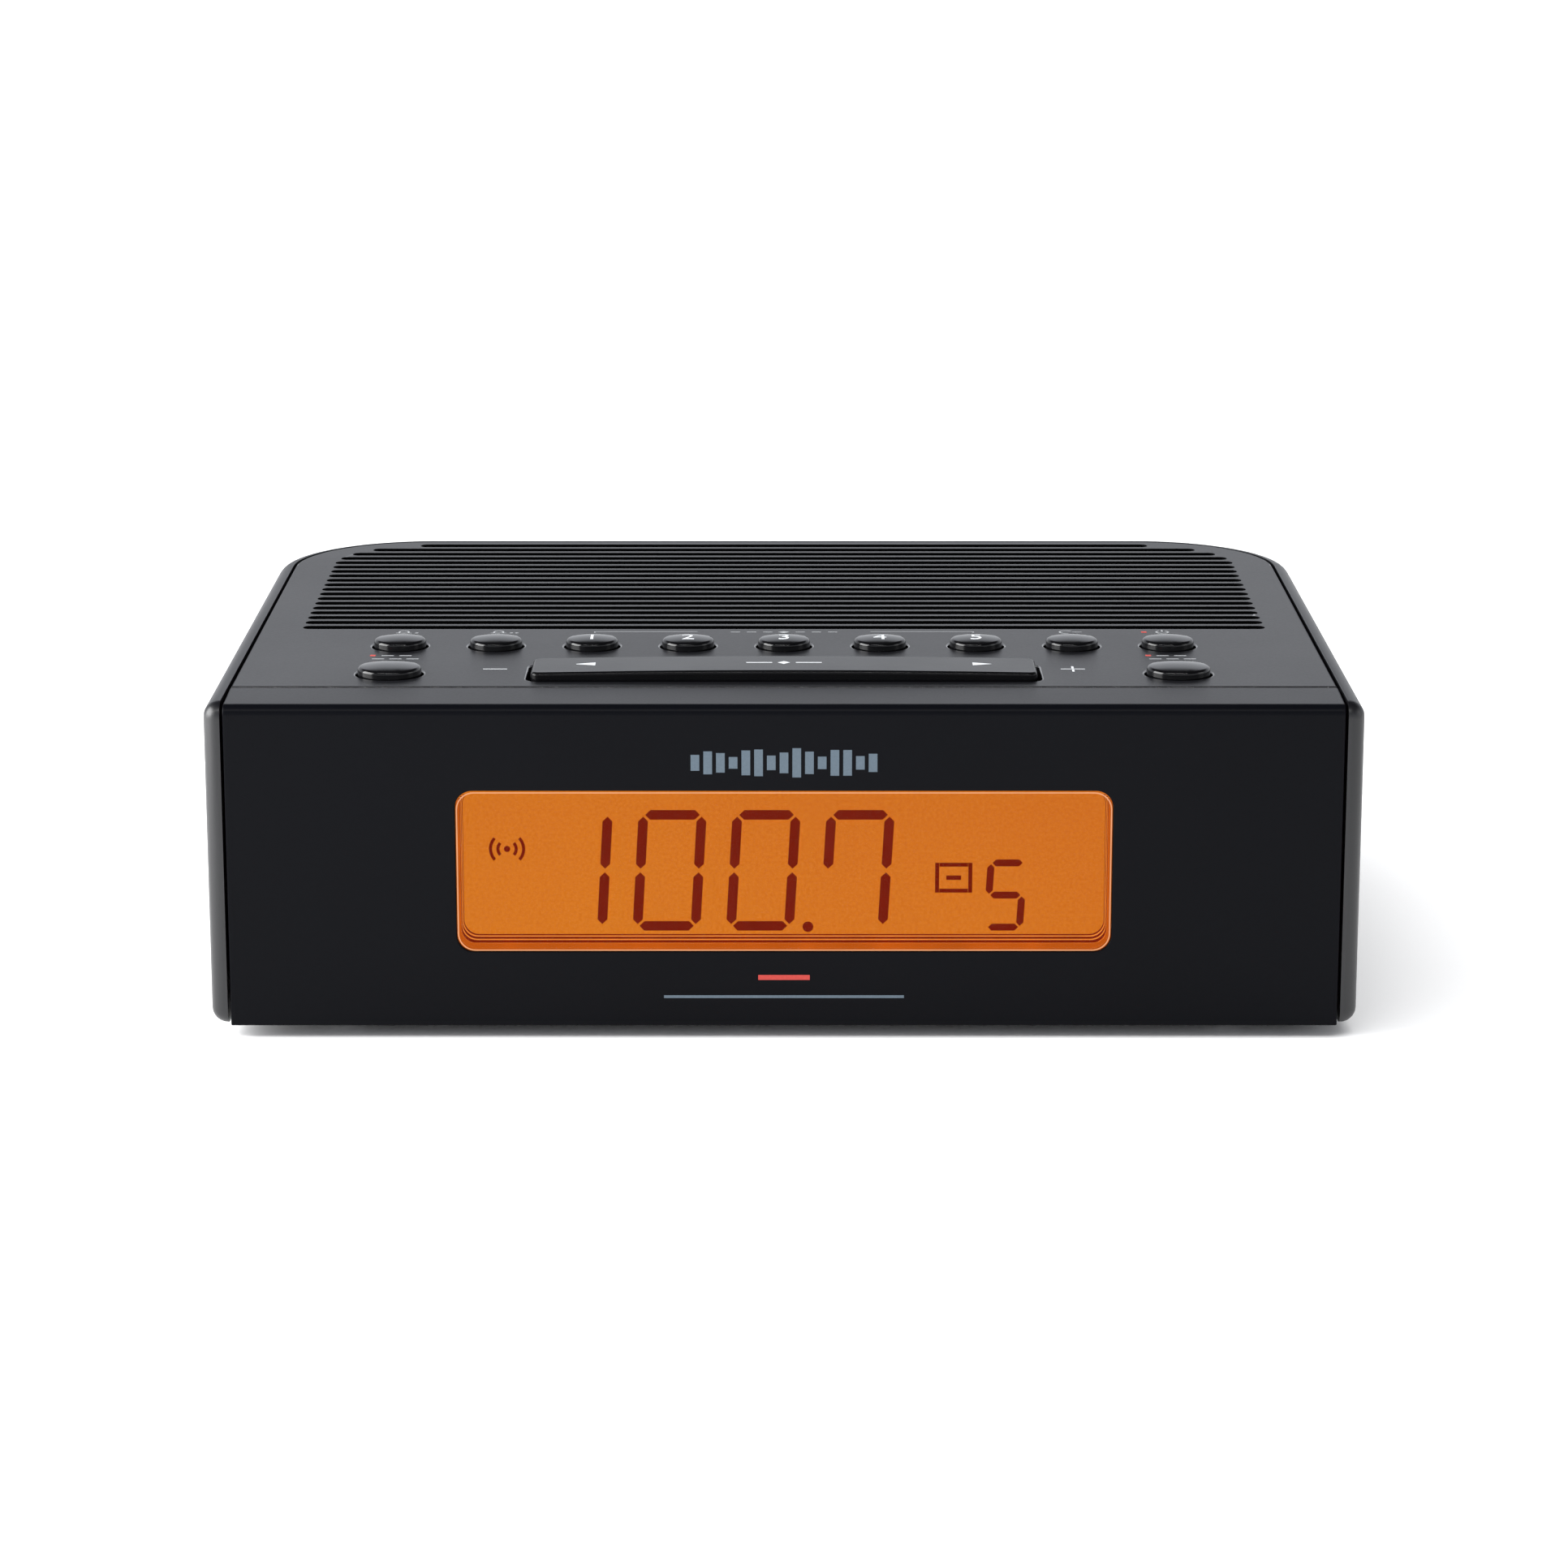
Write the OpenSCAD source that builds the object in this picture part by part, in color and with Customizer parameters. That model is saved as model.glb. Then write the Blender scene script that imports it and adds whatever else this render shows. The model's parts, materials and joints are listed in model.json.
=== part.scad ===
// Tabletop clock radio: a moulded cabinet with a backlit display, eleven push keys, a rocking
// tuning bar that is also the snooze key, a loudspeaker under the slotted top, a thumbwheel
// volume control and sockets in a rear recess, and a battery bay with a hinged door underneath.
// Frame: +Z up, the front faces -Y, the origin is the middle of the outline on the table.

/* [Cabinet] */
// Overall width
body_w = 201; // [190:1:260]
// Overall depth
body_d = 153; // [150:1:200]
// Height of the top panel above the table
body_h = 60.3; // [60:0.1:80]
// Thickness of the side and back wall
wall_t = 3.05; // [2.4:0.05:3.6]
// Width of the dark groove between the wall and the panels
groove = 0.5; // [0.3:0.05:0.8]
// Outside radius of the back corners
corner_r = 29; // [15:0.5:35]
// Rounding of the wall's outer edges
edge_round = 2.8; // [1:0.1:3]
// Thickness of the top panel
panel_t = 2.5; // [2:0.1:3]
// Thickness of the front panel
front_t = 2.5; // [2:0.1:3]
// Thickness of the base plate
base_t = 2.5; // [2.5:0.1:3]
// Depth of the sloping shoulder, from the front face to the seam
shoulder_d = 13.2; // [9:0.1:14]
// Slope of the shoulder, in degrees
shoulder_angle = 2; // [1:0.1:10]
// Width of the seam between the front panel and the top panel
seam = 1.0; // [0.3:0.1:1.2]
// Rounding between the front face and the shoulder
front_round = 1.85; // [1:0.05:2.4]
// Height of the rubber feet
foot_h = 2.4; // [1.5:0.1:4]
// Radius of the rubber feet
foot_r = 7; // [5:0.5:8]

/* [Grille] */
// Distance between the speaker slots
slot_pitch = 4.5; // [4:0.1:6]
// Width of a speaker slot
slot_w = 2.8; // [1.5:0.1:3.2]
// Half of the length of a straight slot
slot_half = 89.4; // [60:0.1:89.4]
// Radius of the grille's back corners
grille_corner_r = 19; // [12:0.5:24]

/* [Display] */
// Width of the window
window_w = 114; // [90:1:137]
// Height of the window
window_h = 28.7; // [24:0.1:34]
// Corner radius of the window
window_r = 2.9; // [1:0.1:4]
// Height of the window's middle above the middle of the cabinet
window_rise = 0.15; // [-1:0.05:1]

/* [Keys] */
// Distance between the small keys
key_pitch = 17.5; // [16:0.1:18]
// Radius of a small key
key_r = 4.75; // [4:0.05:5.7]
// Length of a large key
large_key_w = 11.3; // [10.5:0.1:12.5]
// Depth of a large key
large_key_d = 10.3; // [8:0.1:10.6]
// Height of a key above the top panel
key_rise = 1.85; // [1.2:0.05:2]
// Travel of a key
key_travel = 0.8; // [0.4:0.1:1]
// Length of the tuning bar
bar_w = 89.5; // [70:0.1:92]
// Depth of the tuning bar
bar_d = 12.7; // [10:0.1:14]
// Height of the tuning bar's ends above the top panel
bar_rise = 1.35; // [1:0.05:2]
// Extra height in the middle of the tuning bar
bar_crown = 0.45; // [0.2:0.05:0.8]

/* [Speaker] */
// Radius of the speaker's rim
speaker_r = 38.5; // [34:0.5:38.5]
// Radius of the speaker's magnet
magnet_r = 16; // [12:0.5:18]

/* [Volume and sockets] */
// Radius of the volume wheel
wheel_r = 10; // [8:0.1:12]
// Thickness of the volume wheel
wheel_t = 4; // [3:0.1:5]
// Radius of the audio socket's bore
aux_bore_r = 1.8; // [1.3:0.05:1.8]
// Radius of the power inlet's bore
dc_bore_r = 2.8; // [2:0.05:3.2]

/* [Battery bay] */
// Length of the space for two penlight cells and their contacts
bay_w = 57; // [56:0.5:64]
// Width of the space for the cells
bay_d = 31; // [30:0.5:34]
// Height of the space for the cells, above the base plate
bay_h = 14; // [13:0.5:16]

/* [Hidden] */
$fn = 96;

// Clearances
run_gap = 0.05;    // round a stem, shaft or pin that turns or slides
stop_gap = 0.3;    // between faces of pieces that move past or towards each other
key_gap = 0.4;     // round a key in its well
bar_gap = 0.8;     // round the tuning bar in its well
cut = 1;           // how far a cutting shape runs past the face it cuts

// Outline and levels
edge_r = min(edge_round, wall_t - 0.1);
half_w = body_w / 2;
front_y = -body_d / 2;
back_y = body_d / 2;
base_z = foot_h;
top_z = body_h;
floor_z = base_z + base_t;
ceiling_z = top_z - panel_t;
inner_x = half_w - wall_t;
inner_back_y = back_y - wall_t;
panel_inset = wall_t + groove;
panel_half = half_w - panel_inset;
front_inner_y = front_y + front_t;
seam_y = front_y + shoulder_d;

// Screws
screw_r = 1.4;
screw_hole_r = 1.7;
screw_head_r = 2.8;
screw_head_h = 1.5;
small_screw_r = 0.9;
small_screw_hole_r = 1.15;
small_screw_head_r = 1.9;
small_screw_head_h = 1.1;
boss_r = 3.6;
small_boss_r = 2.3;

// Cabinet fixings
side_boss_x = inner_x - 6.5;
side_boss_ys = [front_y + 27, back_y - 37];
side_boss_top = floor_z + 12;
tab_ys = [front_y + 32, back_y - 46];
tab_t = 2.5;
tab_z = ceiling_z - 14;
front_boss_x = 78;
front_boss_y = front_inner_y + 4.2;
front_boss_top = floor_z + 6.5;
foot_x = half_w - 20;
foot_ys = [front_y + 19, back_y - 25];
foot_peg_r = 2;

// Display stack, from the lens back to its board
window_z = (base_z + top_z) / 2 - foot_h / 2 + window_rise;
lens_flange_t = 1;
lens_flange = 2;
lens_gap = 0.08;
frame_lip_t = 1.5;
glass_t = 1.8;
guide_t = 3;
frame_border = 5;
glass_margin = 1.5;
frame_front_y = front_inner_y + lens_flange_t;
glass_y = frame_front_y + frame_lip_t;
guide_y = glass_y + glass_t;
display_board_y = guide_y + guide_t + 0.8;
board_t = 1.6;
glass_w = window_w + 2 * glass_margin;
glass_h = window_h + 2 * glass_margin;
frame_w = window_w + 2 * frame_border;
frame_h = window_h + 2 * 3.6;
display_board_w = frame_w + 16;
display_board_h = frame_h;
display_hole_x = frame_w / 2 + 4.5;
display_hole_z = 14;
strip_h = 2.2;
led_w = 2.4;
led_h = 4;
led_inset = 3;

// Keys
key_row_y = seam_y + 34.4;
front_row_y = seam_y + 10.8;
large_key_x = 4 * key_pitch;
key_top = top_z + key_rise;
key_crown = 0.5;
key_edge_r = 0.7;
key_flange = 1.2;
key_flange_t = 1.4;
key_flange_top = ceiling_z - stop_gap;
stem_r = 1.5;
switch_w = 6.2;
switch_h = 3.5;
switch_floor = 0.3;
key_board_z = ceiling_z - 7.5;
key_board_back_y = key_row_y + 8.4;
key_board_front_y = seam_y + 3.3;
key_board_half = large_key_x + 10;
key_hole_xs = [-61.5, -26, 26, 61.5];
key_hole_y = (key_row_y + front_row_y) / 2;
small_keys = ["key_alarm_1", "key_alarm_2", "key_preset_1", "key_preset_2", "key_preset_3",
              "key_preset_4", "key_preset_5", "key_nap", "key_power"];
large_keys = ["key_display", "key_band"];

// Tuning bar and its yoke
bar_y = front_row_y + 0.7;
bar_corner_r = 1.6;
bar_stem_x = 30;
rock_angle = 1;
rock_drop = bar_stem_x * sin(rock_angle);
pin_r = 1;
pin_z = ceiling_z - 2.9;
lug_r = 2.2;
lug_in = 1.5;
lug_out = 3.5;
upright_in = lug_out + 0.6;
upright_t = 1.6;
upright_half = 3;
yoke_base_t = 1.1;
yoke_z = key_board_z + key_travel + 0.1;
yoke_half_x = 8;
stop_post_in = bar_d / 2 + bar_gap + 0.65;
stop_post_t = 1.6;
guide_stem_x = 6;
bar_bottom_z = ceiling_z - 1.2;
bar_top_z = top_z + bar_rise;

// Grille
grille_back_y = back_y - panel_inset - 3.95;
first_slot_y = seam_y + 51;
slot_count = floor((grille_back_y - first_slot_y) / slot_pitch) + 1;
cloth_t = 0.5;
cloth_half = side_boss_x - boss_r - 0.4;

// Speaker
ear_step = (speaker_r + 2.9) / sqrt(2);
speaker_y = first_slot_y + speaker_r + 2;
ear_r = 4;
gasket_in = speaker_r - 5;
gasket_out = speaker_r - 0.5;
rim_z = ceiling_z - 5.7;
rim_t = 1.2;
basket_t = 1.2;
basket_h = 17;
basket_foot_r = magnet_r + 1;
basket_foot_z = rim_z + rim_t - basket_h - basket_t;
coil_r = 7;
coil_t = 0.6;
coil_hole_r = 8.2;
magnet_h = 9;
back_plate_t = 2.5;
surround_r = 2.5;
surround_mid_r = speaker_r - 9.5;
cone_t = 0.6;
cone_foot_z = rim_z + rim_t - 12;
dust_cap_r = 9;
dust_cap_round = 12;

// Battery bay
bay_x0 = -70;
bay_y0 = back_y - 42;
bay_wall = 1.5;
door_gap = 0.4;
door_t = 1.6;
door_z = base_z + 0.2;
door_pin_r = 0.8;
door_pin_len = 1.2;
door_pin_y = bay_y0 + 0.5;
door_pin_z = base_z + base_t / 2;
door_front_gap = 1.5;
door_back_y = bay_y0 + bay_d + 1.4;
bay_roof_z = floor_z + bay_h + bay_wall;
contact_t = 0.4;
spring_len = 5;
cell_pitch = 15;

// Main board and what stands on it
board_z = floor_z + 7;
board_top = board_z + board_t;
board_x0 = -8;
board_x1 = 84;
board_y0 = front_y + 37;
board_y1 = back_y - 8;
board_holes = [[-4, board_y0 + 4], [80, board_y0 + 4], [80, back_y - 30], [-4, back_y - 50]];

// Rear recess
recess_x = 33;
recess_w = 64;
recess_h = 20;
recess_z = board_top + 10.5;
recess_r = 2;
recess_fit = 0.2;
recess_wall = 1.5;
recess_flange = 2;
recess_floor_y = back_y - 5.5;
recess_face_y = back_y - 0.5;
wheel_x = recess_x + 20;
wheel_y = recess_face_y - wheel_r;
wheel_gap = 0.4;
wheel_grips = 30;
shaft_r = 2;
pot_w = 12;
pot_top = recess_z - wheel_t / 2 - 0.5;
socket_z = recess_z - 3.5;
dc_x = recess_x - 23;
dc_snout_r = 4;
aux_x = recess_x - 9;
aux_snout_r = 3;
snout_fit = 0.1;
aux_depth = 12;
dc_depth = 10.5;
gland_x = recess_x + 2.5;
gland_neck_r = 2.4;
gland_head_r = 3.4;
gland_bore_r = 0.9;

// Aerial rod
rod_r = 4;
rod_x0 = bay_x0 - 4;
rod_len = 68;
rod_y = back_y - 15;
rod_z = bay_roof_z + 11.4;
holder_xs = [bay_x0 + 4, bay_x0 + 54];
holder_w = 4;
holder_half_d = 5.5;

// ---------- flat outlines ----------

module rounded_rect(w, h, r) {
    square([w - 2 * r, h], center = true);
    square([w, h - 2 * r], center = true);
    for (sx = [-1, 1], sy = [-1, 1])
        translate([sx * (w / 2 - r), sy * (h / 2 - r)]) circle(r);
}

module stadium(w, h) {
    square([w - h, h], center = true);
    for (s = [-1, 1]) translate([s * (w - h) / 2, 0]) circle(h / 2);
}

// The cabinet's outline, set in from the wall's outside: square in front, round at the back
module cabinet_outline(inset, y0) {
    half = half_w - inset;
    back = back_y - inset;
    r = corner_r - inset;
    translate([-half, y0]) square([2 * half, back - r - y0]);
    translate([-(half - r), y0]) square([2 * (half - r), back - y0]);
    for (s = [-1, 1]) translate([s * (half - r), back - r]) circle(r);
}

// ---------- orientation helpers ----------

// A flat shape drawn in X and Z, given a thickness that runs from y0 towards the back
module upright_xz(y0, t) {
    translate([0, y0 + t, 0]) rotate([90, 0, 0]) linear_extrude(t) children();
}

// A flat shape drawn in Y and Z, given a thickness that runs from x0 towards +X
module upright_yz(x0, t) {
    translate([x0, 0, 0]) rotate([90, 0, 90]) linear_extrude(t) children();
}

// A cylinder whose axis runs from y0 towards the back
module along_y(x, y0, z, r, len) {
    translate([x, y0, z]) rotate([-90, 0, 0]) cylinder(r = r, h = len);
}

// A cylinder whose axis runs from x0 towards +X
module along_x(x0, y, z, r, len) {
    translate([x0, y, z]) rotate([0, 90, 0]) cylinder(r = r, h = len);
}

module upright_post(x, y, z0, z1, r) {
    translate([x, y, z0]) cylinder(r = r, h = z1 - z0);
}

// A pan-head screw whose point is up
module screw_up(x, y, head_z, tip_z, r, head_r, head_h) {
    upright_post(x, y, head_z, head_z + head_h, head_r);
    upright_post(x, y, head_z + head_h, tip_z, r);
}

// A pan-head screw whose point is down
module screw_down(x, y, head_z, tip_z, r, head_r, head_h) {
    upright_post(x, y, head_z, head_z + head_h, head_r);
    upright_post(x, y, tip_z, head_z, r);
}

// ---------- cabinet ----------

// Section of the side and back wall: X is the thickness from the inside, Y is the height
module wall_section(from = 0) {
    intersection() {
        translate([from, base_z]) square([wall_t - from, top_z - base_z]);
        union() {
            translate([0, base_z]) square([wall_t - edge_r, top_z - base_z]);
            translate([0, base_z + edge_r]) square([wall_t, top_z - base_z - 2 * edge_r]);
            for (z = [base_z + edge_r, top_z - edge_r])
                translate([wall_t - edge_r, z]) circle(edge_r);
        }
    }
}

// Right half of the wall: front end, side, back corner and half of the back
module half_wall() {
    straight = corner_r;
    translate([inner_x, back_y - straight, 0]) rotate([90, 0, 0])
        linear_extrude(body_d - straight - edge_r) wall_section();
    translate([half_w - corner_r, back_y - corner_r, 0]) rotate_extrude(angle = 90)
        translate([corner_r - wall_t, 0]) wall_section();
    translate([0, inner_back_y, 0]) rotate([90, 0, 90])
        linear_extrude(half_w - corner_r) wall_section();
    translate([half_w - edge_r, front_y + edge_r, 0]) rotate([0, 0, -90])
        rotate_extrude(angle = 90) translate([-(wall_t - edge_r), 0]) wall_section(wall_t - edge_r);
    translate([half_w - edge_r, front_y + edge_r + (wall_t - edge_r), 0]) rotate([90, 0, -90])
        linear_extrude(wall_t - edge_r) wall_section(wall_t - edge_r);
}

// A boss joined to the side wall by a web
module wall_boss(x, y, z0, z1, r, bore_r) {
    difference() {
        union() {
            upright_post(x, y, z0, z1, r);
            translate([x, y - r / 2, z0]) cube([inner_x - x + wall_t / 2, r, z1 - z0]);
        }
        upright_post(x, y, z0 - cut, z1 + cut, bore_r);
    }
}

module side_back_shell() {
    color([0.16, 0.165, 0.175]) difference() {
        union() {
            for (side = [0, 1]) mirror([side, 0, 0]) {
                half_wall();
                for (y = side_boss_ys)
                    wall_boss(side_boss_x, y, floor_z, side_boss_top, boss_r, screw_r);
                for (y = tab_ys)
                    wall_boss(side_boss_x, y, tab_z - tab_t, tab_z, boss_r + 0.6, screw_hole_r);
            }
        }
        translate([recess_x, 0, recess_z]) upright_xz(inner_back_y - cut, wall_t + 2 * cut)
            rounded_rect(recess_w, recess_h, recess_r);
    }
}

// Outer profile of the front panel in Y and Z: face, rounding and sloping shoulder
module front_profile() {
    rear = seam_y - seam / 2;
    mid_y = front_y + front_round;
    mid_z = top_z - (rear - mid_y) * tan(shoulder_angle) - front_round / cos(shoulder_angle);
    touch_y = mid_y - front_round * sin(shoulder_angle);
    touch_z = mid_z + front_round * cos(shoulder_angle);
    under_z = top_z - front_t / cos(shoulder_angle);
    inner_z = under_z - (rear - front_inner_y) * tan(shoulder_angle);
    polygon([[front_y, base_z], [front_y, mid_z], [mid_y, mid_z], [touch_y, touch_z],
             [rear, top_z], [rear, under_z], [front_inner_y, inner_z], [front_inner_y, base_z]]);
    intersection() {
        translate([mid_y, mid_z]) circle(front_round);
        polygon([[front_y, mid_z], [mid_y, mid_z], [touch_y, touch_z],
                 [touch_y, top_z], [front_y, top_z]]);
    }
}

module front_panel() {
    color([0.1, 0.105, 0.12]) difference() {
        union() {
            upright_yz(-panel_half, 2 * panel_half) front_profile();
            for (sx = [-1, 1]) {
                for (sz = [-1, 1])
                    along_y(sx * display_hole_x, front_inner_y - front_t / 2,
                            window_z + sz * display_hole_z, small_boss_r,
                            display_board_y - front_inner_y + front_t / 2);
                upright_post(sx * front_boss_x, front_boss_y, floor_z, front_boss_top, boss_r);
                translate([sx * front_boss_x - boss_r / 2, front_inner_y - front_t / 2, floor_z])
                    cube([boss_r, front_boss_y - front_inner_y, front_boss_top - floor_z]);
            }
        }
        translate([0, 0, window_z]) upright_xz(front_y - cut, front_t + 2 * cut)
            rounded_rect(window_w + 2 * lens_gap, window_h + 2 * lens_gap, window_r + lens_gap);
        for (sx = [-1, 1]) {
            for (sz = [-1, 1])
                along_y(sx * display_hole_x, front_inner_y, window_z + sz * display_hole_z,
                        small_screw_r, display_board_y - front_inner_y + cut);
            upright_post(sx * front_boss_x, front_boss_y, floor_z - cut, front_boss_top + cut,
                         screw_r);
        }
    }
}

function slot_y(i) = first_slot_y + i * slot_pitch;
function slot_end(y) =
    let (dy = max(0, y - (grille_back_y - grille_corner_r)))
    slot_half - (grille_corner_r - sqrt(pow(grille_corner_r, 2) - pow(dy, 2)));

module top_panel() {
    color([0.4, 0.41, 0.43]) difference() {
        union() {
            translate([0, 0, ceiling_z]) linear_extrude(panel_t)
                cabinet_outline(panel_inset, seam_y + seam / 2);
            for (x = key_hole_xs)
                upright_post(x, key_hole_y, key_board_z, ceiling_z + panel_t / 2, small_boss_r);
            for (sx = [-1, 1]) {
                for (y = tab_ys)
                    upright_post(sx * side_boss_x, y, tab_z, ceiling_z + panel_t / 2, boss_r);
                for (sy = [-1, 1])
                    upright_post(sx * ear_step, speaker_y + sy * ear_step, rim_z + rim_t,
                                 ceiling_z + 0.2, boss_r - 0.6);
            }
        }
        translate([0, 0, ceiling_z]) {
            for (i = [0 : slot_count - 1])
                translate([0, slot_y(i), 0]) linear_extrude(panel_t + cut)
                    stadium(2 * slot_end(slot_y(i)), slot_w);
            for (i = [-4 : 4])
                translate([i * key_pitch, key_row_y, -cut])
                    cylinder(r = key_r + key_gap, h = panel_t + 2 * cut);
            for (sx = [-1, 1])
                translate([sx * large_key_x, front_row_y, -cut]) linear_extrude(panel_t + 2 * cut)
                    stadium(large_key_w + 2 * key_gap, large_key_d + 2 * key_gap);
            translate([0, bar_y, -cut]) linear_extrude(panel_t + 2 * cut)
                rounded_rect(bar_w + 2 * bar_gap, bar_d + 2 * bar_gap, bar_corner_r + bar_gap);
        }
        for (x = key_hole_xs)
            upright_post(x, key_hole_y, key_board_z - cut, ceiling_z, small_screw_r);
        for (sx = [-1, 1]) {
            for (y = tab_ys) upright_post(sx * side_boss_x, y, tab_z - cut, ceiling_z, screw_r);
            for (sy = [-1, 1])
                upright_post(sx * ear_step, speaker_y + sy * ear_step, rim_z, ceiling_z - 0.4,
                             screw_r);
        }
    }
}

module base_plate() {
    color([0.12, 0.12, 0.13]) difference() {
        union() {
            translate([0, 0, base_z]) linear_extrude(base_t)
                cabinet_outline(panel_inset, front_inner_y + stop_gap);
            translate([bay_x0 - bay_wall, bay_y0 - bay_wall, floor_z - base_t / 2])
                cube([bay_w + 2 * bay_wall, bay_d + 2 * bay_wall,
                      bay_roof_z - floor_z + base_t / 2]);
            for (p = board_holes) upright_post(p[0], p[1], floor_z - base_t / 2, board_z, boss_r);
        }
        translate([bay_x0, bay_y0, base_z]) cube([bay_w, bay_d, base_t + bay_h]);
        translate([bay_x0 - 1, door_pin_y - door_front_gap, base_z - cut])
            cube([bay_w + 2, door_back_y + door_gap - door_pin_y + door_front_gap, base_t + cut]);
        along_x(bay_x0 - 1 - door_pin_len, door_pin_y, door_pin_z, door_pin_r + run_gap,
                bay_w + 2 + 2 * door_pin_len);
        for (p = board_holes) upright_post(p[0], p[1], floor_z, board_z + cut, screw_r);
        for (sx = [-1, 1]) {
            for (y = foot_ys) upright_post(sx * foot_x, y, base_z - cut, floor_z + cut, foot_peg_r);
            for (p = concat([for (y = side_boss_ys) [side_boss_x, y]],
                            [[front_boss_x, front_boss_y]])) {
                upright_post(sx * p[0], p[1], base_z - cut, base_z + screw_head_h + 0.1,
                             screw_head_r + 0.2);
                upright_post(sx * p[0], p[1], base_z, floor_z + cut, screw_hole_r);
            }
        }
        for (i = [0 : 7])
            translate([20 + i * 7, 0, base_z - cut]) linear_extrude(base_t + 2 * cut)
                rotate(90) stadium(30, 2);
    }
}

module feet() {
    color([0.05, 0.05, 0.05])
        for (sx = [-1, 1], y = foot_ys) {
            upright_post(sx * foot_x, y, 0, foot_h, foot_r);
            upright_post(sx * foot_x, y, foot_h, floor_z, foot_peg_r);
        }
}

module case_screws() {
    color("silver")
        for (sx = [-1, 1])
            for (p = concat([for (y = side_boss_ys) [side_boss_x, y, side_boss_top - 1.5]],
                            [[front_boss_x, front_boss_y, front_boss_top - 1]]))
                screw_up(sx * p[0], p[1], base_z + 0.1, p[2], screw_r, screw_head_r,
                         screw_head_h);
}

module panel_screws() {
    color("silver")
        for (sx = [-1, 1], y = tab_ys)
            screw_up(sx * side_boss_x, y, tab_z - tab_t - screw_head_h, ceiling_z - 3, screw_r,
                     screw_head_r, screw_head_h);
}

// ---------- display ----------

module display_lens() {
    color([0.9, 0.45, 0.1, 0.5]) translate([0, 0, window_z]) {
        upright_xz(front_y, front_t) rounded_rect(window_w, window_h, window_r);
        upright_xz(front_inner_y, lens_flange_t)
            rounded_rect(window_w + 2 * lens_flange, window_h + 2 * lens_flange,
                         window_r + lens_flange);
    }
}

module display_frame() {
    depth = display_board_y - frame_front_y;
    color([0.92, 0.9, 0.85]) translate([0, 0, window_z]) difference() {
        upright_xz(frame_front_y, depth) square([frame_w, frame_h], center = true);
        upright_xz(frame_front_y - cut, depth + 2 * cut)
            rounded_rect(window_w - 1, window_h - 1, window_r - 0.5);
        upright_xz(glass_y, depth) square([glass_w, glass_h], center = true);
    }
}

module display_glass() {
    color([0.86, 0.5, 0.15]) translate([0, 0, window_z]) upright_xz(glass_y, glass_t)
        square([glass_w, glass_h], center = true);
}

module light_guide() {
    color([1, 0.75, 0.35]) difference() {
        translate([-glass_w / 2, guide_y, window_z - glass_h / 2 + strip_h + 0.4])
            cube([glass_w, guide_t, glass_h - strip_h - 0.4]);
        for (sx = [-1, 1], sz = [-1, 1])
            translate([sx * (glass_w / 2 - led_inset), guide_y, window_z + sz * glass_h / 5])
                cube([led_w + 0.4, 3 * guide_t, led_h + 0.4], center = true);
    }
}

module backlight_leds() {
    color([1, 0.6, 0.2])
        for (sx = [-1, 1], sz = [-1, 1])
            translate([sx * (glass_w / 2 - led_inset) - led_w / 2, guide_y + 0.3,
                       window_z + sz * glass_h / 5 - led_h / 2])
                cube([led_w, display_board_y - guide_y - 0.3, led_h]);
}

module contact_strip() {
    color([0.85, 0.6, 0.6])
        translate([-glass_w / 2 + 4, guide_y, window_z - glass_h / 2])
            cube([glass_w - 8, display_board_y - guide_y, strip_h]);
}

module display_board() {
    color([0.1, 0.35, 0.2]) difference() {
        translate([-display_board_w / 2, display_board_y, window_z - display_board_h / 2])
            cube([display_board_w, board_t, display_board_h]);
        for (sx = [-1, 1], sz = [-1, 1])
            along_y(sx * display_hole_x, display_board_y - cut, window_z + sz * display_hole_z,
                    small_screw_hole_r, board_t + 2 * cut);
    }
}

module display_screws() {
    color("silver")
        for (sx = [-1, 1], sz = [-1, 1]) {
            along_y(sx * display_hole_x, display_board_y + board_t,
                    window_z + sz * display_hole_z, small_screw_head_r, small_screw_head_h);
            along_y(sx * display_hole_x, front_inner_y + 2, window_z + sz * display_hole_z,
                    small_screw_r, display_board_y + board_t - front_inner_y - 2);
        }
}

// ---------- keys ----------

// Half section of a key cap: upright side, rounded edge and a crown, from z0 to the top
module cap_profile(r, z0, top, crown, edge) {
    round_r = (r * r + crown * crown) / (2 * crown);
    edge_z = top - round_r + sqrt(pow(round_r - edge, 2) - pow(r - edge, 2));
    touch_x = (r - edge) * round_r / (round_r - edge);
    translate([0, z0]) square([r, edge_z - z0]);
    translate([r - edge, edge_z]) intersection() {
        circle(edge);
        translate([-edge, 0]) square([2 * edge, edge]);
    }
    intersection() {
        translate([0, top - round_r]) circle(round_r, $fn = 720);
        translate([0, edge_z]) square([touch_x, top - edge_z + cut]);
    }
}

// A cap with half-round ends: two half turns of the section and a straight length between
module long_cap(len, r, z0, top, crown, edge) {
    for (s = [-1, 1])
        translate([s * len / 2, 0, 0]) rotate([0, 0, -90 * s])
            rotate_extrude(angle = 180) cap_profile(r, z0, top, crown, edge);
    translate([-len / 2, 0, 0]) rotate([90, 0, 90]) linear_extrude(len) {
        cap_profile(r, z0, top, crown, edge);
        mirror([1, 0]) cap_profile(r, z0, top, crown, edge);
    }
}

function stem_tip(drop) = key_board_z + switch_floor + drop + stop_gap;

module small_key(i) {
    color([0.07, 0.07, 0.08]) translate([(i - 4) * key_pitch, key_row_y, 0]) {
        rotate_extrude() cap_profile(key_r, key_flange_top, key_top, key_crown, key_edge_r);
        upright_post(0, 0, key_flange_top - key_flange_t, key_flange_top, key_r + key_flange);
        upright_post(0, 0, stem_tip(key_travel), key_flange_top - key_flange_t, stem_r);
    }
}

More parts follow.
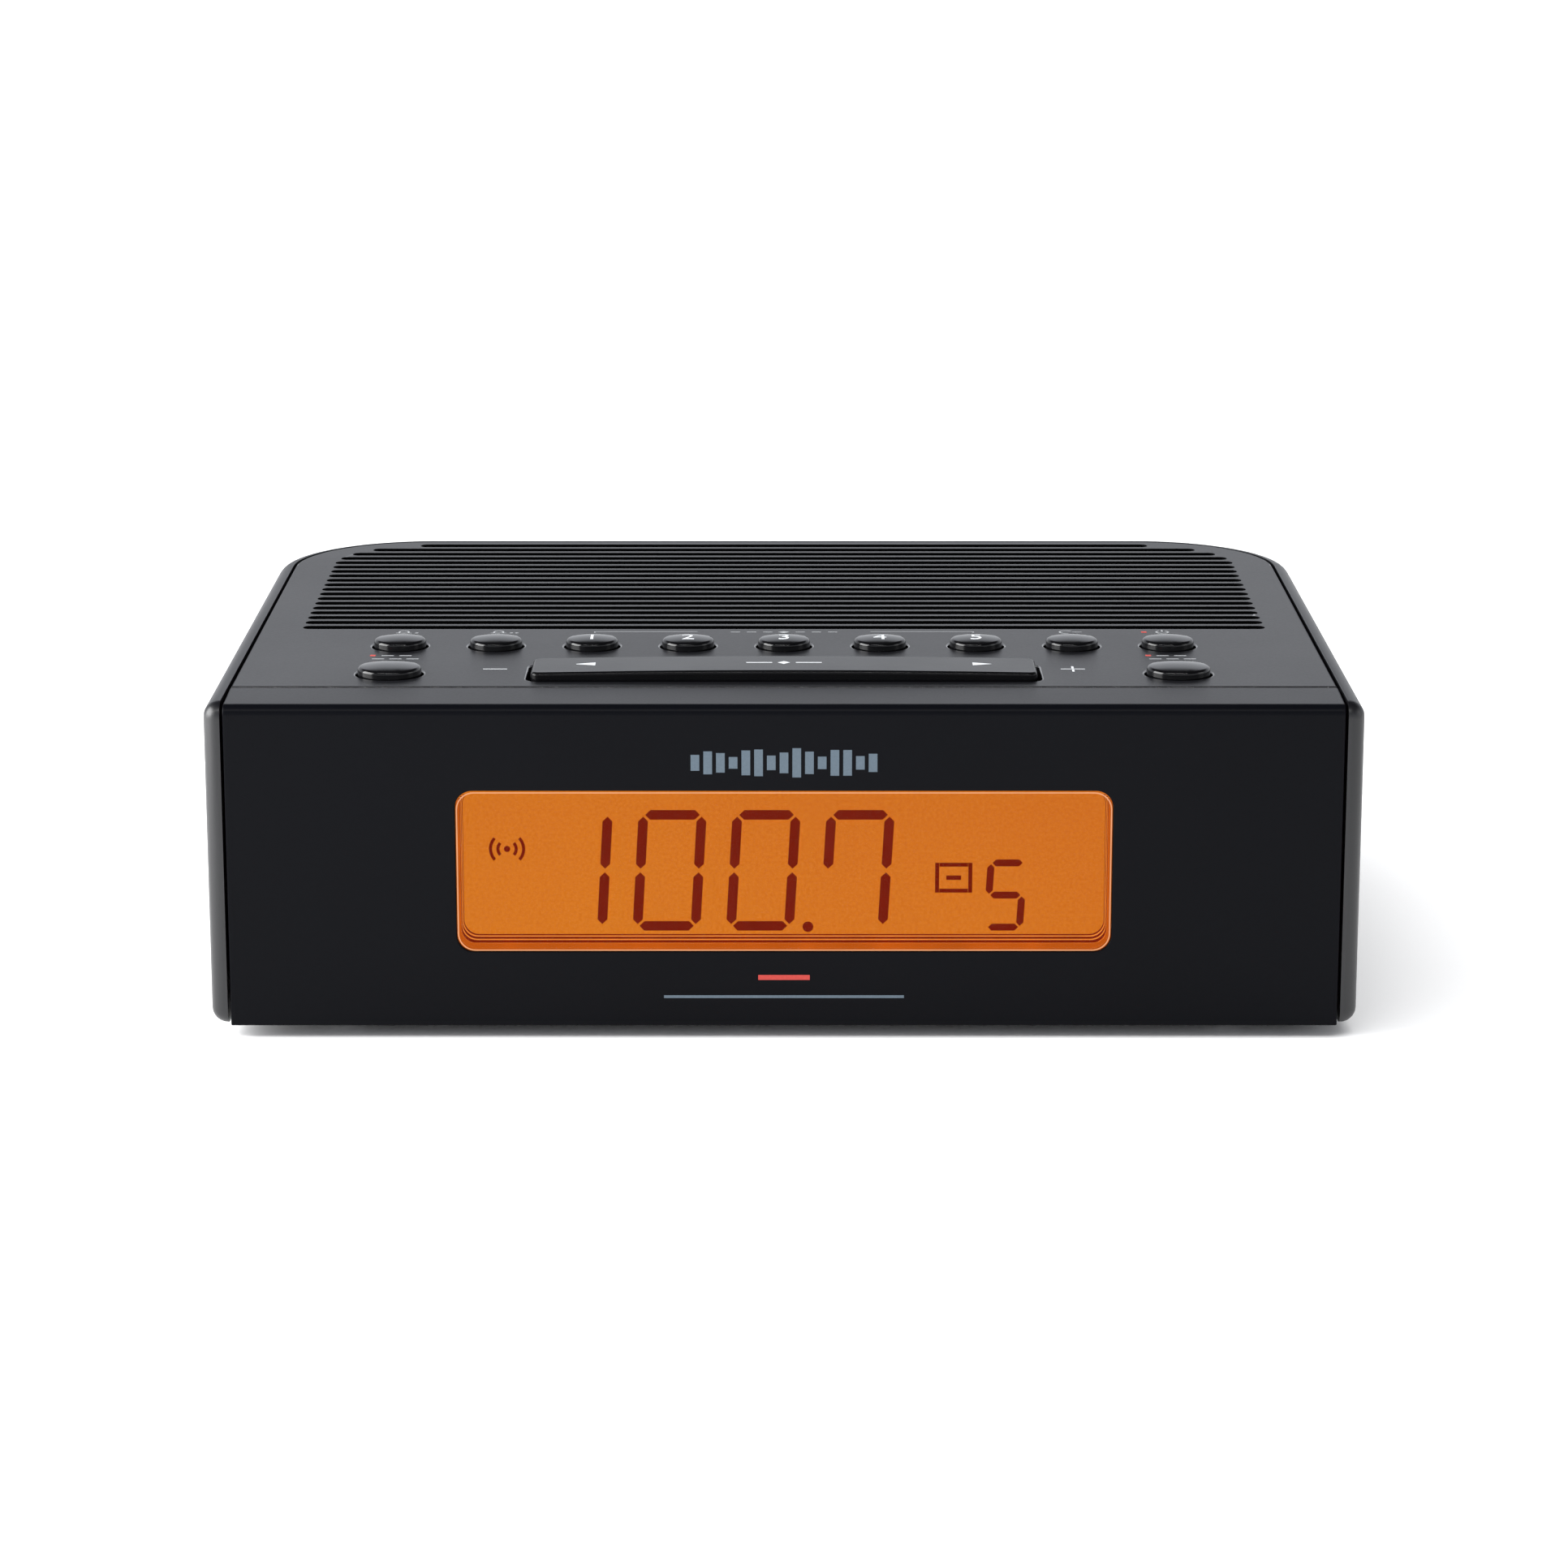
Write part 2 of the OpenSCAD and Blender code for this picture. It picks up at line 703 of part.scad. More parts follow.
module large_key(side) {
    color([0.07, 0.07, 0.08]) translate([side * large_key_x, front_row_y, 0]) {
        long_cap(large_key_w - large_key_d, large_key_d / 2, key_flange_top, key_top, key_crown,
                 key_edge_r);
        translate([0, 0, key_flange_top - key_flange_t]) linear_extrude(key_flange_t)
            stadium(large_key_w + 2 * key_flange, large_key_d + 2 * key_flange);
        upright_post(0, 0, stem_tip(key_travel), key_flange_top - key_flange_t, stem_r);
    }
}

// Height of the tuning bar's crowned top at x
function bar_top(x) = bar_top_z + bar_crown * (1 - pow(2 * x / bar_w, 2));

module tuning_bar() {
    steps = 32;
    color([0.07, 0.07, 0.08]) translate([0, bar_y, 0]) {
        difference() {
            union() {
                intersection() {
                    translate([0, 0, bar_bottom_z])
                        linear_extrude(bar_top_z + bar_crown - bar_bottom_z + cut)
                            rounded_rect(bar_w, bar_d, bar_corner_r);
                    upright_xz(-bar_d, 2 * bar_d)
                        polygon(concat([[-bar_w, bar_bottom_z]],
                                       [for (i = [0 : steps])
                                            let (x = bar_w * (i / steps - 0.5)) [x, bar_top(x)]],
                                       [[bar_w, bar_bottom_z]]));
                }
                for (s = [-1, 1])
                    translate([0, s * (lug_in + lug_out) / 2, 0])
                        upright_xz((lug_in - lug_out) / 2, lug_out - lug_in) {
                            translate([0, pin_z]) circle(lug_r);
                            translate([-lug_r, pin_z]) square([2 * lug_r, bar_bottom_z - pin_z + 0.5]);
                        }
            }
            along_y(0, -bar_d, pin_z, pin_r + run_gap, 2 * bar_d);
        }
        for (s = [-1, 1])
            upright_post(s * bar_stem_x, 0, stem_tip(key_travel + rock_drop), bar_bottom_z, stem_r);
    }
}

module rocker_pin() {
    reach = upright_in + upright_t;
    color("silver") along_y(0, bar_y - reach, pin_z, pin_r, 2 * reach);
}

module snooze_yoke() {
    depth = stop_post_in + stop_post_t;
    color([0.85, 0.85, 0.82]) translate([0, bar_y, 0]) {
        difference() {
            union() {
                translate([-yoke_half_x, -depth, yoke_z])
                    cube([2 * yoke_half_x, 2 * depth, yoke_base_t]);
                for (s = [-1, 1]) {
                    translate([-upright_half, s * (upright_in + upright_t / 2) - upright_t / 2, yoke_z])
                        cube([2 * upright_half, upright_t, bar_bottom_z - stop_gap - yoke_z]);
                    translate([-upright_half, s * (stop_post_in + stop_post_t / 2) - stop_post_t / 2,
                               yoke_z])
                        cube([2 * upright_half, stop_post_t, ceiling_z - stop_gap - yoke_z]);
                }
            }
            along_y(0, -bar_d, pin_z, pin_r, 2 * bar_d);
        }
        for (s = [-1, 1])
            upright_post(s * guide_stem_x, 0, key_board_z - board_t - 1.5, yoke_z, stem_r);
        upright_post(0, 0, key_board_z - board_t - switch_h + switch_floor + key_travel + stop_gap,
                     yoke_z, stem_r);
    }
}

module key_board() {
    color([0.1, 0.35, 0.2]) difference() {
        translate([-key_board_half, key_board_front_y, key_board_z - board_t])
            cube([2 * key_board_half, key_board_back_y - key_board_front_y, board_t]);
        for (x = key_hole_xs)
            upright_post(x, key_hole_y, key_board_z - board_t - cut, key_board_z + cut,
                         small_screw_hole_r);
        for (x = [-guide_stem_x, 0, guide_stem_x])
            upright_post(x, bar_y, key_board_z - board_t - cut, key_board_z + cut,
                         stem_r + run_gap);
    }
}

module key_board_screws() {
    color("silver")
        for (x = key_hole_xs)
            screw_up(x, key_hole_y, key_board_z - board_t - small_screw_head_h,
                     ceiling_z - 1, small_screw_r, small_screw_head_r, small_screw_head_h);
}

// A switch housing with the bore that a key's stem slides in
module switch_housing(x, y, bore_r) {
    difference() {
        translate([x - switch_w / 2, y - switch_w / 2, key_board_z])
            cube([switch_w, switch_w, switch_h]);
        upright_post(x, y, key_board_z + switch_floor, key_board_z + switch_h + cut, bore_r);
    }
}

module key_switches() {
    color([0.2, 0.2, 0.22]) {
        for (i = [-4 : 4]) switch_housing(i * key_pitch, key_row_y, stem_r + run_gap);
        for (sx = [-1, 1]) {
            switch_housing(sx * large_key_x, front_row_y, stem_r + run_gap);
            switch_housing(sx * bar_stem_x, bar_y, stem_r + stop_gap);
        }
        difference() {
            translate([-switch_w / 2 + 1, bar_y - switch_w / 2, key_board_z - board_t - switch_h])
                cube([switch_w - 2, switch_w, switch_h]);
            upright_post(0, bar_y, key_board_z - board_t - switch_h + switch_floor,
                         key_board_z - board_t + cut, stem_r + run_gap);
        }
    }
}

// ---------- speaker ----------

module at_speaker() {
    translate([0, speaker_y, 0]) children();
}

module grille_cloth() {
    color([0.03, 0.03, 0.03]) difference() {
        translate([0, 0, ceiling_z - cloth_t]) linear_extrude(cloth_t) intersection() {
            cabinet_outline(panel_inset + 1, first_slot_y - slot_pitch / 2);
            translate([0, back_y / 2]) square([2 * cloth_half, body_d], center = true);
        }
        for (sx = [-1, 1], sy = [-1, 1])
            upright_post(sx * ear_step, speaker_y + sy * ear_step, ceiling_z - cloth_t - cut,
                         ceiling_z + cut, boss_r - 0.4);
    }
}

module speaker_gasket() {
    color([0.15, 0.15, 0.15]) at_speaker() difference() {
        upright_post(0, 0, rim_z + rim_t, ceiling_z - cloth_t, gasket_out);
        upright_post(0, 0, rim_z + rim_t - cut, ceiling_z, gasket_in);
    }
}

module speaker_basket() {
    inner = speaker_r - 8;
    top = rim_z + rim_t;
    color([0.35, 0.36, 0.38]) at_speaker() difference() {
        union() {
            rotate_extrude()
                polygon([[speaker_r, top], [speaker_r, rim_z], [inner + 2.4, rim_z],
                         [basket_foot_r, basket_foot_z + basket_t], [basket_foot_r, basket_foot_z],
                         [coil_hole_r, basket_foot_z], [coil_hole_r, basket_foot_z + basket_t],
                         [basket_foot_r - basket_t, basket_foot_z + basket_t], [inner, rim_z - 0.3],
                         [inner, top]]);
            for (sx = [-1, 1], sy = [-1, 1])
                upright_post(sx * ear_step, sy * ear_step, rim_z, top, ear_r);
        }
        for (sx = [-1, 1], sy = [-1, 1])
            upright_post(sx * ear_step, sy * ear_step, rim_z - cut, top + cut, screw_hole_r);
    }
}

module speaker_surround() {
    color([0.08, 0.08, 0.08]) at_speaker() rotate_extrude()
        translate([surround_mid_r, rim_z + rim_t]) intersection() {
            difference() {
                circle(surround_r);
                circle(surround_r - 0.5);
            }
            translate([-surround_r - cut, 0]) square([2 * (surround_r + cut), surround_r + cut]);
        }
}

module speaker_cone() {
    outer = surround_mid_r - surround_r;
    top = rim_z + rim_t;
    color([0.12, 0.12, 0.13]) at_speaker() rotate_extrude()
        polygon([[coil_r, cone_foot_z], [outer, top - cone_t], [outer, top],
                 [outer - cone_t, top], [coil_r, cone_foot_z + cone_t]]);
}

function cone_z(r) =
    cone_foot_z + cone_t + 0.05
    + (r - coil_r) * (rim_z + rim_t - cone_foot_z - cone_t) / (surround_mid_r - surround_r - cone_t - coil_r);

module speaker_dust_cap() {
    mid_z = cone_z(dust_cap_r) - sqrt(pow(dust_cap_round, 2) - pow(dust_cap_r, 2));
    color([0.08, 0.08, 0.08]) at_speaker() rotate_extrude() intersection() {
        translate([0, mid_z]) difference() {
            circle(dust_cap_round);
            circle(dust_cap_round - 0.5);
        }
        translate([0, cone_z(dust_cap_r)]) square([dust_cap_r, dust_cap_round]);
    }
}

module speaker_coil() {
    color([0.7, 0.4, 0.2]) at_speaker() rotate_extrude()
        translate([coil_r, basket_foot_z - magnet_h + 2])
            square([coil_t, cone_foot_z - basket_foot_z + magnet_h - 2]);
}

module speaker_magnet() {
    color([0.25, 0.25, 0.26]) at_speaker() rotate_extrude()
        translate([coil_hole_r + 0.6, basket_foot_z - magnet_h])
            square([magnet_r - coil_hole_r - 0.6, magnet_h]);
}

module speaker_pole() {
    color([0.6, 0.6, 0.62]) at_speaker() {
        upright_post(0, 0, basket_foot_z - magnet_h - back_plate_t, basket_foot_z - magnet_h,
                     magnet_r - 1);
        upright_post(0, 0, basket_foot_z - magnet_h, basket_foot_z + 1, coil_r - 0.5);
    }
}

module speaker_screws() {
    color("silver") at_speaker()
        for (sx = [-1, 1], sy = [-1, 1])
            screw_up(sx * ear_step, sy * ear_step, rim_z - screw_head_h, ceiling_z - 1, screw_r,
                     screw_head_r, screw_head_h);
}

// ---------- main board ----------

module main_board() {
    color([0.1, 0.35, 0.2]) difference() {
        translate([board_x0, board_y0, board_z])
            cube([board_x1 - board_x0, board_y1 - board_y0, board_t]);
        for (p = board_holes) upright_post(p[0], p[1], board_z - cut, board_top + cut, screw_hole_r);
    }
}

module main_board_screws() {
    color("silver")
        for (p = board_holes)
            screw_down(p[0], p[1], board_top, board_z - 4, screw_r, screw_head_r, screw_head_h);
}

module tuner_module() {
    color("silver") translate([14, board_y0 + 6, board_top]) {
        cube([26, 20, 5.4]);
        translate([0.8, 0.8, 5.4]) cube([24.4, 18.4, 0.4]);
    }
}

module board_chips() {
    color([0.08, 0.08, 0.09]) translate([0, board_y0, board_top]) {
        translate([50, 8, 0]) cube([14, 14, 1.6]);
        translate([70, 34, 0]) cube([8, 5, 1.5]);
        translate([44, 36, 0]) cube([10, 6, 1.5]);
        translate([62, 46, 0]) cube([16, 4, 9]);
    }
}

module board_capacitors() {
    color([0.15, 0.2, 0.35]) translate([0, board_y0, 0])
        for (p = [[52, 58, 4, 11], [64, 60, 4, 11], [74, 62, 3.2, 9], [26, 40, 2.5, 7],
                  [34, 44, 2.5, 7]])
            upright_post(p[0], p[1], board_top, board_top + p[3], p[2]);
}

// Flat cable: up from the main board's front edge, forward, and onto the display board
module ribbon_cable() {
    t = 0.5;
    rise = 9;
    start_y = board_y0 + 2;
    end_y = display_board_y + board_t;
    color([0.75, 0.75, 0.72]) upright_yz(30, 24) {
        translate([start_y, board_top]) square([t, rise]);
        translate([end_y, board_top + rise]) square([start_y + t - end_y, t]);
    }
}

module rod_holders() {
    color([0.9, 0.9, 0.88])
        for (x = holder_xs)
            difference() {
                translate([x, rod_y - holder_half_d, bay_roof_z])
                    cube([holder_w, 2 * holder_half_d, rod_z + rod_r + 1.5 - bay_roof_z]);
                along_x(x - cut, rod_y, rod_z, rod_r, holder_w + 2 * cut);
            }
}

module aerial_rod() {
    color([0.2, 0.2, 0.22]) along_x(rod_x0, rod_y, rod_z, rod_r, rod_len);
}

module aerial_coil() {
    len = 22;
    x0 = rod_x0 + rod_len / 2 - len / 2;
    color([0.75, 0.45, 0.2]) difference() {
        along_x(x0, rod_y, rod_z, rod_r + 1.4, len);
        along_x(x0 - cut, rod_y, rod_z, rod_r, len + 2 * cut);
    }
}

// ---------- rear recess, sockets and volume ----------

module rear_recess() {
    outer_w = recess_w - 2 * recess_fit;
    outer_h = recess_h - 2 * recess_fit;
    floor_back_y = recess_floor_y - recess_wall;
    color([0.13, 0.13, 0.14]) difference() {
        translate([recess_x, 0, recess_z]) difference() {
            union() {
                upright_xz(floor_back_y, recess_face_y - floor_back_y)
                    rounded_rect(outer_w, outer_h, recess_r);
                upright_xz(inner_back_y - 1, 1)
                    square([recess_w + 2 * recess_flange, recess_h + 2 * recess_flange],
                           center = true);
            }
            upright_xz(recess_floor_y, wall_t + recess_wall + 2 * cut)
                rounded_rect(outer_w - 2 * recess_wall, outer_h - 2 * recess_wall, recess_r - 1);
        }
        translate([wheel_x, wheel_y, recess_z - wheel_t / 2 - wheel_gap])
            cylinder(r = wheel_r + wheel_gap, h = wheel_t + 2 * wheel_gap);
        along_y(dc_x, floor_back_y - cut, socket_z, dc_snout_r + snout_fit, recess_wall + 2 * cut);
        along_y(aux_x, floor_back_y - cut, socket_z, aux_snout_r + snout_fit,
                recess_wall + 2 * cut);
        along_y(gland_x, floor_back_y - cut, recess_z, gland_neck_r, recess_wall + 2 * cut);
    }
}

// A board-mounted socket: a body, and a round snout through the recess floor
module socket_body(x, w, snout_r, bore_r, depth) {
    back = recess_floor_y - recess_wall;
    difference() {
        union() {
            translate([x - w / 2, back - 12.5, board_top])
                cube([w, 12.5, socket_z + snout_r + 1 - board_top]);
            along_y(x, back - 1, socket_z, snout_r, recess_wall + 1);
        }
        along_y(x, recess_floor_y - depth, socket_z, bore_r, depth + cut);
    }
}

module dc_socket() {
    color([0.1, 0.1, 0.1]) {
        socket_body(dc_x, 10, dc_snout_r, dc_bore_r, dc_depth);
        along_y(dc_x, recess_floor_y - dc_depth - 1, socket_z, 1, dc_depth);
    }
}

module aux_socket() {
    color([0.1, 0.1, 0.1]) socket_body(aux_x, 8, aux_snout_r, aux_bore_r, aux_depth);
}

module aerial_gland() {
    floor_back_y = recess_floor_y - recess_wall;
    color([0.06, 0.06, 0.06]) difference() {
        union() {
            along_y(gland_x, floor_back_y, recess_z, gland_neck_r, recess_wall);
            along_y(gland_x, recess_floor_y, recess_z, gland_head_r, 1);
            along_y(gland_x, floor_back_y - 1, recess_z, gland_head_r, 1);
        }
        along_y(gland_x, floor_back_y - 2, recess_z, gland_bore_r, recess_wall + 4);
    }
}

module volume_control() {
    back = recess_floor_y - recess_wall - 0.5;
    color([0.3, 0.3, 0.32]) difference() {
        translate([wheel_x - pot_w / 2, back - pot_w - 2, board_top])
            cube([pot_w, pot_w + 2, pot_top - board_top]);
        upright_post(wheel_x, wheel_y, board_top + 1, pot_top + cut, shaft_r + run_gap);
    }
}

module volume_wheel() {
    color([0.08, 0.08, 0.09]) translate([wheel_x, wheel_y, 0]) {
        difference() {
            upright_post(0, 0, recess_z - wheel_t / 2, recess_z + wheel_t / 2, wheel_r);
            for (i = [0 : wheel_grips - 1])
                rotate([0, 0, i * 360 / wheel_grips])
                    upright_post(wheel_r + 0.25, 0, recess_z - wheel_t / 2 - cut,
                                 recess_z + wheel_t / 2 + cut, 0.7);
        }
        upright_post(0, 0, board_top + 1 + stop_gap, recess_z - wheel_t / 2, shaft_r);
    }
}

// ---------- battery bay ----------

function cell_y(s) = bay_y0 + bay_d / 2 + s * cell_pitch / 2;

module battery_contacts() {
    color("silver")
        for (s = [-1, 1], x = [bay_x0, bay_x0 + bay_w - contact_t])
            translate([x, cell_y(s) - 5, floor_z + 2]) cube([contact_t, 10, bay_h - 4]);
}

module battery_springs() {
    turns = 4;
    wire_r = 0.45;
    color("silver")
        for (s = [-1, 1], i = [0 : turns - 1])
            translate([bay_x0 + contact_t + wire_r + i * (spring_len - 2 * wire_r) / (turns - 1),
                       cell_y(s), floor_z + bay_h / 2])
                rotate([0, 90, 0]) rotate_extrude() translate([4 - 0.5 * i, 0]) circle(wire_r);
}

module battery_door() {
    color([0.12, 0.12, 0.13]) {
        difference() {
            union() {
                translate([bay_x0 - 1 + door_gap, door_pin_y, door_z])
                    cube([bay_w + 2 - 2 * door_gap, door_back_y - door_pin_y, door_t]);
                along_x(bay_x0 - 1 + door_gap, door_pin_y, door_pin_z, door_pin_r,
                        bay_w + 2 - 2 * door_gap);
            }
            for (i = [-2 : 2])
                translate([bay_x0 + bay_w / 2 - 8, door_back_y - 6 + i * 1.6 - 0.4, door_z - cut])
                    cube([16, 0.8, 0.5 + cut]);
        }
        along_x(bay_x0 - door_pin_len, door_pin_y, door_pin_z, door_pin_r,
                bay_w + 2 * door_pin_len);
    }
}

// ---------- one line per node ----------

top_panel();
front_panel();
side_back_shell();
base_plate();
feet();
case_screws();
panel_screws();
display_lens();
display_frame();
display_glass();
light_guide();
backlight_leds();
contact_strip();
display_board();
display_screws();
key_board();
key_board_screws();
key_switches();
grille_cloth();
speaker_gasket();
speaker_basket();
speaker_surround();
speaker_cone();
speaker_dust_cap();
speaker_coil();
speaker_magnet();
speaker_pole();
speaker_screws();
main_board();
main_board_screws();
tuner_module();
board_chips();
board_capacitors();
ribbon_cable();
rod_holders();
aerial_rod();
aerial_coil();
rear_recess();
dc_socket();
aux_socket();
aerial_gland();
volume_control();
volume_wheel();
battery_contacts();
battery_springs();
battery_door();
snooze_yoke();
rocker_pin();
tuning_bar();
for (i = [0 : len(small_keys) - 1])
    small_key(i);
for (i = [0, 1])
    large_key(2 * i - 1);
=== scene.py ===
"""Tabletop clock radio: finishes, display, printed marks and studio, round the CAD frame."""

import json
import math

import bmesh
import bpy
from bpy.props import FloatProperty, FloatVectorProperty, PointerProperty
from mathutils import Matrix, Vector
from mathutils.bvhtree import BVHTree

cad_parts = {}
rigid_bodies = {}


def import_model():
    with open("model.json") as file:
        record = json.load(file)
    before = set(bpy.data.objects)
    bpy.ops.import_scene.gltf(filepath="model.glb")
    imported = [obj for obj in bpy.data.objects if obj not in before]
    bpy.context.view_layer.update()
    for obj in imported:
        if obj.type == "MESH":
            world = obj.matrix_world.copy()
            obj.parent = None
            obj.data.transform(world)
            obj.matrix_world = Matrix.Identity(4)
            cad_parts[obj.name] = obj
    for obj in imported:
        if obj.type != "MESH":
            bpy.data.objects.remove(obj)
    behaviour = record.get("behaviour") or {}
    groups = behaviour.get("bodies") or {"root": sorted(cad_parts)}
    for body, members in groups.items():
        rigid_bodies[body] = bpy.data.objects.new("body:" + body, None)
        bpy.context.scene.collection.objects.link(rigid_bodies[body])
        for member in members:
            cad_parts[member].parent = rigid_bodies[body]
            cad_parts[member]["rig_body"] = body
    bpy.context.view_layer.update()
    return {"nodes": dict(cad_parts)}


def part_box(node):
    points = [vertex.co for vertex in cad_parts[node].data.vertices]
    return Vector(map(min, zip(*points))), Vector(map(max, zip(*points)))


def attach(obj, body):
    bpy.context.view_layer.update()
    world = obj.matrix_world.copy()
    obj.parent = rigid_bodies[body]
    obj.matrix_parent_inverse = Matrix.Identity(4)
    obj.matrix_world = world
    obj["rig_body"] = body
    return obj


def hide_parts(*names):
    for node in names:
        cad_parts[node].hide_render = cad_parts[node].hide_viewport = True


bl_info = {
    "name": "Tabletop clock radio",
    "version": (1, 0, 0),
    "blender": (4, 5, 0),
    "location": "View3D > Sidebar > Radio",
    "description": "Gives a packed clock radio its materials, display, printed marks and studio",
    "category": "Object",
}

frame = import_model()
NODES = frame["nodes"]

MM = 0.001
WELD = 0.0015 * MM  # mesh points closer than this are one point
SKIN = 0.01 * MM  # within this of a surface counts as on it; flat prints sink in this far
CREASE = math.radians(38)  # edges sharper than this stay sharp in the shading

SMALL_KEYS = ["key_alarm_1", "key_alarm_2", *(f"key_preset_{i}" for i in range(1, 6)),
              "key_nap", "key_power"]
LARGE_KEYS = ["key_display", "key_band"]


def middle(node):
    """The centre of a node's box."""
    low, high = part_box(node)
    return (low + high) / 2


def body_of(node):
    """The name of the body that a CAD node rides on."""
    return NODES[node]["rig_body"]


# ---------- settings ----------


def length(name, description, default):
    return FloatProperty(name=name, description=description, default=default * MM, min=0,
                         unit="LENGTH", subtype="DISTANCE")


def share(name, description, default):
    return FloatProperty(name=name, description=description, default=default, min=0, max=1,
                         subtype="FACTOR")


def colour(name, description, default):
    return FloatVectorProperty(name=name, description=description, default=default, min=0, max=1,
                               size=3, subtype="COLOR")


class RadioCabinetSettings(bpy.types.PropertyGroup):
    """Edges and plastics of the cabinet and keys."""

    rib_round: length("Rib rounding", "Rounding of the speaker ribs' upper edges", 0.14)
    panel_round: length("Panel rounding", "Rounding of the panels' visible edges", 0.25)
    well_round: length("Well rounding", "Rounding of the edges round the keys' wells", 0.3)
    bar_round: length("Bar rounding", "Rounding of the tuning bar's upper edges", 0.6)
    window_round: length("Lens bevel", "Bevel round the front of the display lens", 0.45)
    shell_colour: colour("Shell", "Satin plastic of the top, sides and back",
                         (0.003, 0.0031, 0.0042))
    front_colour: colour("Front", "Smooth plastic of the front panel", (0.0018, 0.002, 0.0031))
    key_colour: colour("Keys", "Polished plastic of the keys and the tuning bar",
                       (0.0022, 0.0022, 0.0026))
    shell_rough: share("Shell roughness", "Roughness of the satin plastic", 0.37)
    key_rough: share("Key roughness", "Roughness of the polished plastic", 0.1)


class RadioDisplaySettings(bpy.types.PropertyGroup):
    """The backlit display and its figures."""

    digit_height: length("Digit height", "Height of the large figures", 21.8)
    digit_width: length("Digit width", "Width of a large figure, without its slant", 11.9)
    digit_pitch: length("Digit pitch", "Distance between the large figures", 16.4)
    stroke: length("Stroke", "Thickness of a large figure's segments", 1.72)
    slant: FloatProperty(name="Slant", description="Lean of the figures to the right",
                         default=math.radians(3.3), subtype="ANGLE")
    drop: length("Drop", "How far the figures' middle sits below the window's middle", 1.0)
    bright_amber: colour("Bright amber", "The backlight near its lamps", (0.82, 0.295, 0.014))
    dim_amber: colour("Dim amber", "The backlight far from its lamps", (0.655, 0.172, 0.014))
    figure_colour: colour("Figures", "Dark segments over the backlight", (0.175, 0.0085, 0.003))


class RadioPrintSettings(bpy.types.PropertyGroup):
    """Inks printed on the panels and keys."""

    white_ink: colour("White ink", "Figures and signs", (0.62, 0.64, 0.66))
    grey_ink: colour("Grey ink", "Small signs behind the keys", (0.3, 0.31, 0.32))
    red_ink: colour("Red ink", "Small reminder dashes", (0.45, 0.045, 0.035))
    blue_ink: colour("Grey-blue ink", "Plain badge above the display", (0.088, 0.12, 0.15))
    ink_height: length("Ink height", "How far a print stands over its surface", 0.02)


class RadioStageSettings(bpy.types.PropertyGroup):
    """Studio, lights and camera."""

    floor_colour: colour("Floor", "Pale studio floor", (0.97, 0.97, 0.97))
    sky_level: share("Surround", "Brightness of the studio near the horizon", 0.95)
    camera_distance: length("Distance", "Camera's distance in front of the radio's middle", 843.9)
    camera_height: length("Height", "Camera's height above the floor", 234.1)
    camera_pitch: FloatProperty(name="Pitch", description="Camera's downward tilt",
                                default=math.radians(13.77), subtype="ANGLE")
    focal_length: FloatProperty(name="Focal length", description="Camera's focal length",
                                default=104.8, unit="CAMERA")


# ---------- shader expressions ----------


class Term:
    """A shader socket that takes Python arithmetic. Each operation adds its Math node."""

    def __init__(self, tree, socket):
        self.tree = tree
        self.socket = socket

    def math(self, operation, *terms):
        return self.tree.add("ShaderNodeMath", {"operation": operation}, dict(enumerate(terms)))

    def __add__(self, other):
        return self.math("ADD", self, other)

    def __radd__(self, other):
        return self.math("ADD", other, self)

    def __sub__(self, other):
        return self.math("SUBTRACT", self, other)

    def __rsub__(self, other):
        return self.math("SUBTRACT", other, self)

    def __mul__(self, other):
        return self.math("MULTIPLY", self, other)

    def __rmul__(self, other):
        return self.math("MULTIPLY", other, self)

    def clipped(self):
        return self.math("MINIMUM", self.math("MAXIMUM", self, 0.0), 1.0)


class Finish:
    """A new material with its Principled shader, and the one method that adds its other nodes."""

    def __init__(self, name):
        self.material = bpy.data.materials.new(name)
        self.material.use_nodes = True
        self.nodes = self.material.node_tree.nodes
        self.links = self.material.node_tree.links
        self.shader = self.nodes["Principled BSDF"]

    def add(self, kind, settings=None, inputs=None, output=0):
        """Adds a node with its settings, then its sockets' values or terms; gives one output."""
        node = self.nodes.new(kind)
        for key, value in (settings or {}).items():
            if key == "stops":
                self.set_stops(node.color_ramp, value)
            else:
                setattr(node, key, value)
        for key, value in (inputs or {}).items():
            self.feed(node.inputs[key], value)
        return Term(self, node.outputs[output])

    @staticmethod
    def set_stops(ramp, stops):
        while len(ramp.elements) < len(stops):
            ramp.elements.new(1.0)
        for element, (place, shade) in zip(ramp.elements, stops):
            element.position = place
            element.color = (*shade, 1.0) if len(shade) == 3 else shade

    def feed(self, socket, value):
        if isinstance(value, Term):
            self.links.new(value.socket, socket)
        elif hasattr(value, "__len__") and len(value) == 3 and len(socket.default_value) == 4:
            socket.default_value = (*value, 1.0)
        else:
            socket.default_value = value

    def place(self):
        """Object coordinates, in metres."""
        return self.add("ShaderNodeTexCoord", output="Object")

    def noise(self, scale, detail, rough):
        """Fine-grained noise from 0 to 1; scale is in cells for each metre."""
        inputs = {"Vector": self.place(), "Scale": scale, "Detail": detail,
                  "Roughness": rough}
        return self.add("ShaderNodeTexNoise", None, inputs, "Fac")

    def blend(self, factor, low, high):
        return self.add("ShaderNodeMix", {"data_type": "RGBA"},
                        {"Factor": factor, 6: low, 7: high}, 2)

    def bump(self, height, distance):
        return self.add("ShaderNodeBump", None,
                        {"Height": height, "Distance": distance, "Strength": 1.0}, "Normal")

    def use(self, **sockets):
        """Feeds the Principled shader: names are its sockets, with _ for a space."""
        for key, value in sockets.items():
            self.feed(self.shader.inputs[key.replace("_", " ")], value)
        return self.material


# ---------- finishes ----------


